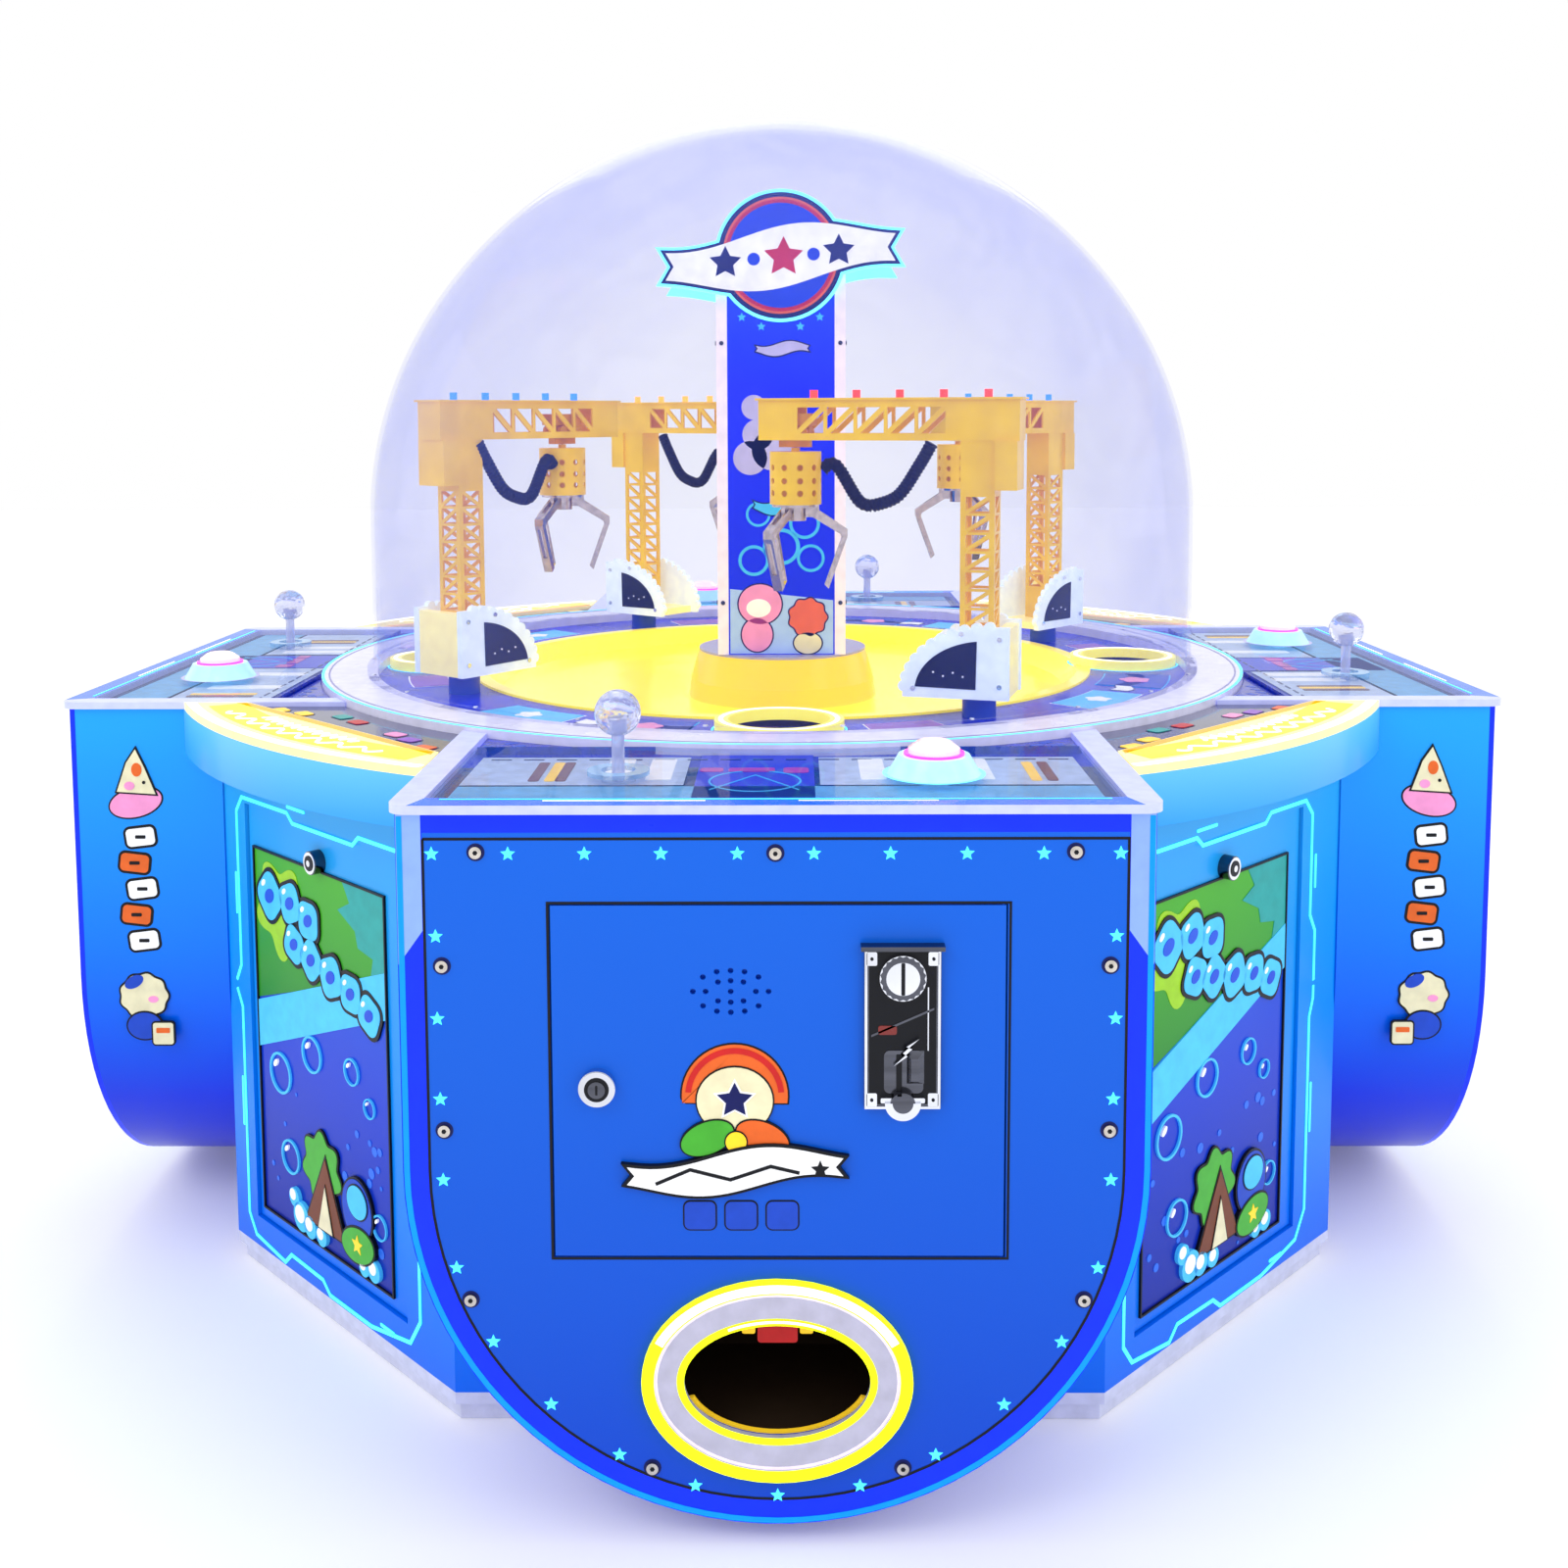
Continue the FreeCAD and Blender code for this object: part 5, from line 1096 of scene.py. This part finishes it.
def build_ring_light():
    """A cyan light line and a painted shade line on the ring's two edges, and screws round the
    dome's foot.
    """
    place = flat_frame(0, RING_TOP)
    shapes = [("cyan", 0, hoop(0, 0, 0.6008, 0.5975, 120)), ("ring_shade", 0,
        hoop(0, 0, 0.5925, 0.5905, 120))]
    sticker("ring_light", place, shapes, "root", 0.0004)
    flange = flat_frame(0, RING_TOP + 0.006)
    screws = []
    for i in range(24):
        x, y = 0.541 * math.cos(math.radians(15 * i + 7)), 0.541 * math.sin(math.radians(15 * i
            + 7))
        screws.append(("chrome", circle(x, y, 0.0026, 14), 0, 0.0015))
    prism("flange_screws", flange, screws)


def build_deck_art(side):
    turn = SIDES[side]
    inner = flat_frame(turn, DECK)
    shapes = [*outlined("purple", "white", arc_band(0.445, 0.492, 12, 22), 0.002, 0),
        *outlined("sky", "white", arc_band(0.44, 0.5, 46, 60), 0.002, 0),
        ("white", 2, blob(*polar(0.47, 53), 0.014, 5, 0.15)), *outlined("royal", "sky",
        arc_band(0.43, 0.51, -24, -12), 0.002, 0), ("pink", 2, blob(*polar(0.47, -18), 0.018, 5,
        0.1)), *outlined("white", "navy", ribbon_arc(0.465, 62, 78), 0.002, 0),
        ("cyan", 0, hoop(0, -CHUTE_OUT, 0.0735, 0.0712, 60))]
    sticker("deck_art_" + side, inner, shapes)
    ring = flat_frame(turn, RING_TOP)
    sticker("chute_hot_" + side, ring, [("hot_white", 0, hoop(0, -CHUTE_OUT, 0.0655, 0.0605, 60))])
    glass = flat_frame(turn, DECK + 0.0012)
    shapes = [("glass_sky", 0, [(-0.29, -0.795), (0.29, -0.795), (0.29, -0.735), (-0.29, -0.735)]),
        ("glass_pale", 0, [(-0.29, -0.73), (-0.085, -0.73), (-0.085, -0.61), (-0.29, -0.61)]),
        ("glass_deep", 0, [(-0.075, -0.79), (0.035, -0.79), (0.035, -0.6), (-0.075, -0.6)]),
        ("glass_pale", 0, [(0.04, -0.73), (0.29, -0.73), (0.29, -0.61), (0.04, -0.61)]),
        ("magenta", 1, rounded(-0.062, -0.668, 0.011, 0.008, 0.004)), ("magenta", 1,
        rounded(-0.024, -0.668, 0.022, 0.008, 0.004)), ("magenta", 1, rounded(0.018, -0.67, 0.012,
        0.011, 0.005)), ("sky", 1, hoop(-0.02, -0.715, 0.043, 0.0412)), ("sky", 1,
        stroke([(-0.06, -0.75), (-0.02, -0.69), (0.02, -0.75)], 0.0014))]
    for x, tone in ((-0.225, "brown"), (-0.21, "gold"), (-0.2, "brown"), (0.24, "gold"),
            (0.255, "brown")):
        shapes += [(tone, 1, rounded(x, -0.675, 0.005, 0.04, 0.003))]
    for x in (-0.15, -0.11, 0.09, 0.19):
        shapes += [("white", 1, rounded(x, -0.665, 0.012, 0.045, 0.003))]
    for i in range(18):
        shapes += [("navy", 1, rounded(-0.27 + 0.032 * i, -0.622, 0.01, 0.0012, 0.001))]
    sticker("glass_art_" + side, glass, shapes, "root", 0.0002)
    lit = flat_frame(turn, GLASS_TOP)
    sticker("trim_lines_" + side, lit, [("cyan", 0, stroke([(-0.29, -0.812), (0.29, -0.812)],
        0.0022)), ("hot_white", 0, stroke([(-0.2, -0.818), (-0.06, -0.818)], 0.0012)),
        ("hot_white", 0, stroke([(0.02, -0.818), (0.14, -0.818)], 0.0012))])
    front = face_frame(turn, FACE - 0.005)
    sticker("top_line_" + side, front, [("cyan", 0, stroke([(-0.29, 0.6495), (0.29, 0.6495)],
        0.0035))], "root", 0.0006)
    panel = flat_frame(turn, DECK + 0.003)
    shapes = []
    for row in range(3):
        for column in range(-13, 14):
            x, y = 0.021 * column + 0.01 * (row % 2), -0.548 - 0.014 * row
            if math.hypot(x, y) > 0.612 and y > -0.585:
                shapes += [("royal", 0, rounded(x, y, 0.007, 0.0045, 0.002, 0.5))]
    sticker("panel_art_" + side, panel, shapes, "root", 0.0002)


def arc_band(inner, outer, start, end, count=12):
    return arc_line(outer, start, end, count) + arc_line(inner, end, start, count)


def ribbon_arc(radius, start, end, count=24):
    outer = [polar(radius + 0.012 + 0.004 * math.sin(i * 0.7), start + (end - start) * i / count)
        for i in range(count + 1)]
    inner = [polar(radius - 0.008 + 0.003 * math.sin(i * 0.7), start + (end - start) * i / count)
        for i in range(count, -1, -1)]
    return outer + inner


# ---------------------------------------------------------------- column and sign

def build_column_art():
    for number, side in enumerate(SIDES):
        place = face_frame(SIDES[side], COLUMN_HALF)
        half = 0.067
        shapes = [("column_pale", 0, [(-half, 0.69), (half, 0.69), (half, 0.76), (-half, 0.775)]),
            *outlined("pink", "navy", ellipse(-0.028, 0.755, 0.028, 0.026), 0.0018, 1),
            *outlined("pink", "navy", ellipse(-0.032, 0.715, 0.02, 0.022), 0.0018, 1),
            ("white", 3, ellipse(-0.03, 0.75, 0.016, 0.012)), *outlined("orange", "navy",
            blob(0.034, 0.738, 0.024, 9, 0.06), 0.0018, 1), *outlined("cream", "navy",
            ellipse(0.034, 0.704, 0.018, 0.014), 0.0018, 1)]
        for x, z, radius in ((-0.036, 0.812, 0.02), (0.0, 0.83, 0.024), (0.038, 0.815, 0.018),
                (0.03, 0.86, 0.02), (-0.03, 0.872, 0.016)):
            shapes += [("sky", 1, ("loop", circle(x, z, radius), circle(x, z, radius * 0.8)))]
        shapes += [*outlined("sky", "navy", ribbon(0.004, 0.885, 0.04, 0.02, 0.006), 0.0016, 2)]
        for x, z, radius in ((-0.04, 0.945, 0.022), (-0.012, 0.955, 0.026), (-0.03, 0.975, 0.02),
                (0.045, 0.985, 0.014), (-0.035, 1.01, 0.016), (0.03, 0.93, 0.015)):
            shapes += [("lilac", 2, circle(x, z, radius, 24))]
        shapes += [*outlined("lilac", "navy", ribbon(0.002, 1.085, 0.034, 0.016, 0.003), 0.0016,
            2)]
        for i in range(5):
            shapes += [("sky", 1, star(-0.05 + 0.025 * i, 1.125 - 0.012 * (i % 2), 0.006))]
        sticker("column_art_" + side, place, shapes)
        edge = face_frame(SIDES[side], COLUMN_HALF + 0.002)
        prism("column_screws_" + side, edge,
              [("steel_dot", circle(s * 0.0762, z, 0.0028, 14), 0, 0.0015)
               for s in (-1, 1) for z in (0.757, 1.092)])


def build_signs():
    """A generic header sign, front and back: a lit edge, a ringed disc and a white ribbon."""
    shapes = []
    z = SIGN_HEIGHT
    for turn, way in ((0, 1), (180, -1)):
        banner = ribbon(0, z - 0.002, 0.146, 0.078, 0.006 * way, 0.012 * way)
        layers = [("sign_edge", circle(0, z, 0.0835, 56), 0.0, 0.0066), ("sign_edge",
            grown(banner, 0.0075), 0.0, 0.0068), ("navy", circle(0, z, 0.0795, 56), 0.0066,
            0.0078), ("navy", grown(banner, 0.004), 0.0067, 0.008), ("orange",
            circle(0, z, 0.0735, 56), 0.0078, 0.0086), ("red", circle(0, z, 0.0705, 56), 0.0086,
            0.009), ("blue", circle(0, z, 0.066, 56), 0.009, 0.0096), ("white", banner, 0.008,
            0.0106)]
        marks = [("navy", star(-0.07, z - 0.009 * way, 0.021, 0.5)), ("red",
            star(0.004, z - 0.002, 0.026, 0.5)), ("navy", star(0.074, z + 0.006 * way, 0.021,
            0.5))]
        marks += [("blue", circle(x, z - 0.002 + 0.08 * x * way, 0.008, 20)) for x in (-0.034,
            0.042)]
        layers += [(tone, outline, 0.0106, 0.011) for tone, outline in marks]
        place = face_frame(turn, COLUMN_HALF + 0.002)
        shapes += [(place, *layer) for layer in layers]
    piece = plates("header_signs", shapes, "root")
    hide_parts("signs")


# ---------------------------------------------------------------- cranes and controls

REST = {"front": (163, 0.214), "left": (142, 0.170), "back": (142, 0.214), "right": (138, 0.214)}
PIVOT = (0.446 * math.cos(math.radians(-60)), 0.446 * math.sin(math.radians(-60)), 0)


def crane_frame(side):
    heading = REST[side][0]
    return turned(SIDES[side]) @ Matrix.Translation(PIVOT) @ turned(heading)


def build_crane_art(side):
    mast = "crane_mast_" + side
    place = crane_frame(side)
    turn = place.to_3x3()
    inset = [(-0.004, 0.701)] + [(-0.018 + 0.082 * math.cos(math.radians(a)),
        0.697 + 0.058 * math.sin(math.radians(a))) for a in range(5, 82, 4)]
    scallops = []
    for i in range(11):
        angle = math.radians(6 + 8.2 * i)
        scallops.append((-0.022 + 0.0995 * math.cos(angle), 0.694 + 0.0755 * math.sin(angle)))
    for name, way in (("near", -1), ("far", 1)):
        origin = place @ Vector((0, way * 0.0435, 0))
        frame_here = (origin, turn @ Vector((1, 0, 0)), Vector((0, 0, 1)),
            turn @ Vector((0, way, 0)))
        shapes = [("ink", inset, 0.0, 0.0012)]
        for x, z in ((-0.03, 0.705), (-0.03, 0.757), (0.066, 0.7), (0.012, 0.762)):
            shapes += [("chrome", circle(x, z, 0.0028, 12), 0, 0.0016)]
        for k in range(4):
            shapes += [("white", circle(0.01 + 0.011 * k, 0.715 + 0.004 * (k % 2), 0.0012, 8), 0,
                0.0016)]
        for x, z in scallops:
            shapes += [("cheek", circle(x, z, 0.0062, 16), -0.0078, -0.0002)]
        prism("cheek_art_%s_%s" % (side, name), frame_here, shapes, mast)
    reach = REST[side][1]

    def spot(x, y, z):
        return place @ Vector((x, y, z))

    low = reach - 0.086
    start, middle = spot(low - 0.069, -0.0155, 0.968), spot(low, -0.019, 0.897)
    end = spot(reach - 0.029, -0.012, 0.938)
    first = tube("hose_near_" + side, [start, spot(low - 0.055, -0.0165, 0.944),
        spot(low - 0.03, -0.018, 0.909), middle], 0.0072, "rubber", None, ribs=0.0008,
        pitch=0.0046)
    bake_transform(first)
    second = tube("hose_far_" + side, [middle, spot(low + 0.016, -0.018, 0.903),
        spot(low + 0.038, -0.016, 0.938), spot(low + 0.048, -0.014, 0.945), end], 0.0072, "rubber",
        None, ribs=0.0008, pitch=0.0046)
    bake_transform(second)
    rope = tube("rope_" + side, [spot(reach, 0, 0.972), spot(reach, 0, 0.966),
        spot(reach, 0, 0.9635), spot(reach, 0, 0.96)], 0.0014, "steel_dot", None)
    spot(reach, 0, 0.968)
    spot(reach, 0, 0.962)
    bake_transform(rope)


def build_control_art(side):
    turn = SIDES[side]
    top = flat_frame(turn, GLASS_TOP + 0.0001)
    x, y = BUTTON[0], -BUTTON[1]
    cap = flat_frame(turn, GLASS_TOP + 0.03)
    prism("button_dot_" + side, cap, [("button_cap", circle(x, y, 0.013, 32), -0.0005, 0.0012)],
        "button_" + side)
    sticker("button_glow_" + side, top, [("cyan_soft" if side == "front" else "lilac", 0,
        hoop(x, y, 0.0475, 0.0437, 60))])


build_camera()
build_stage()
M = make_materials()
paint_static()
paint_moving()
for station in SIDES:
    build_front(station)
    build_drum_art(station)
    build_diagonal(station)
    build_canopy(station)
    build_deck_art(station)
    build_crane_art(station)
    build_control_art(station)
build_ring_light()
build_column_art()
build_signs()
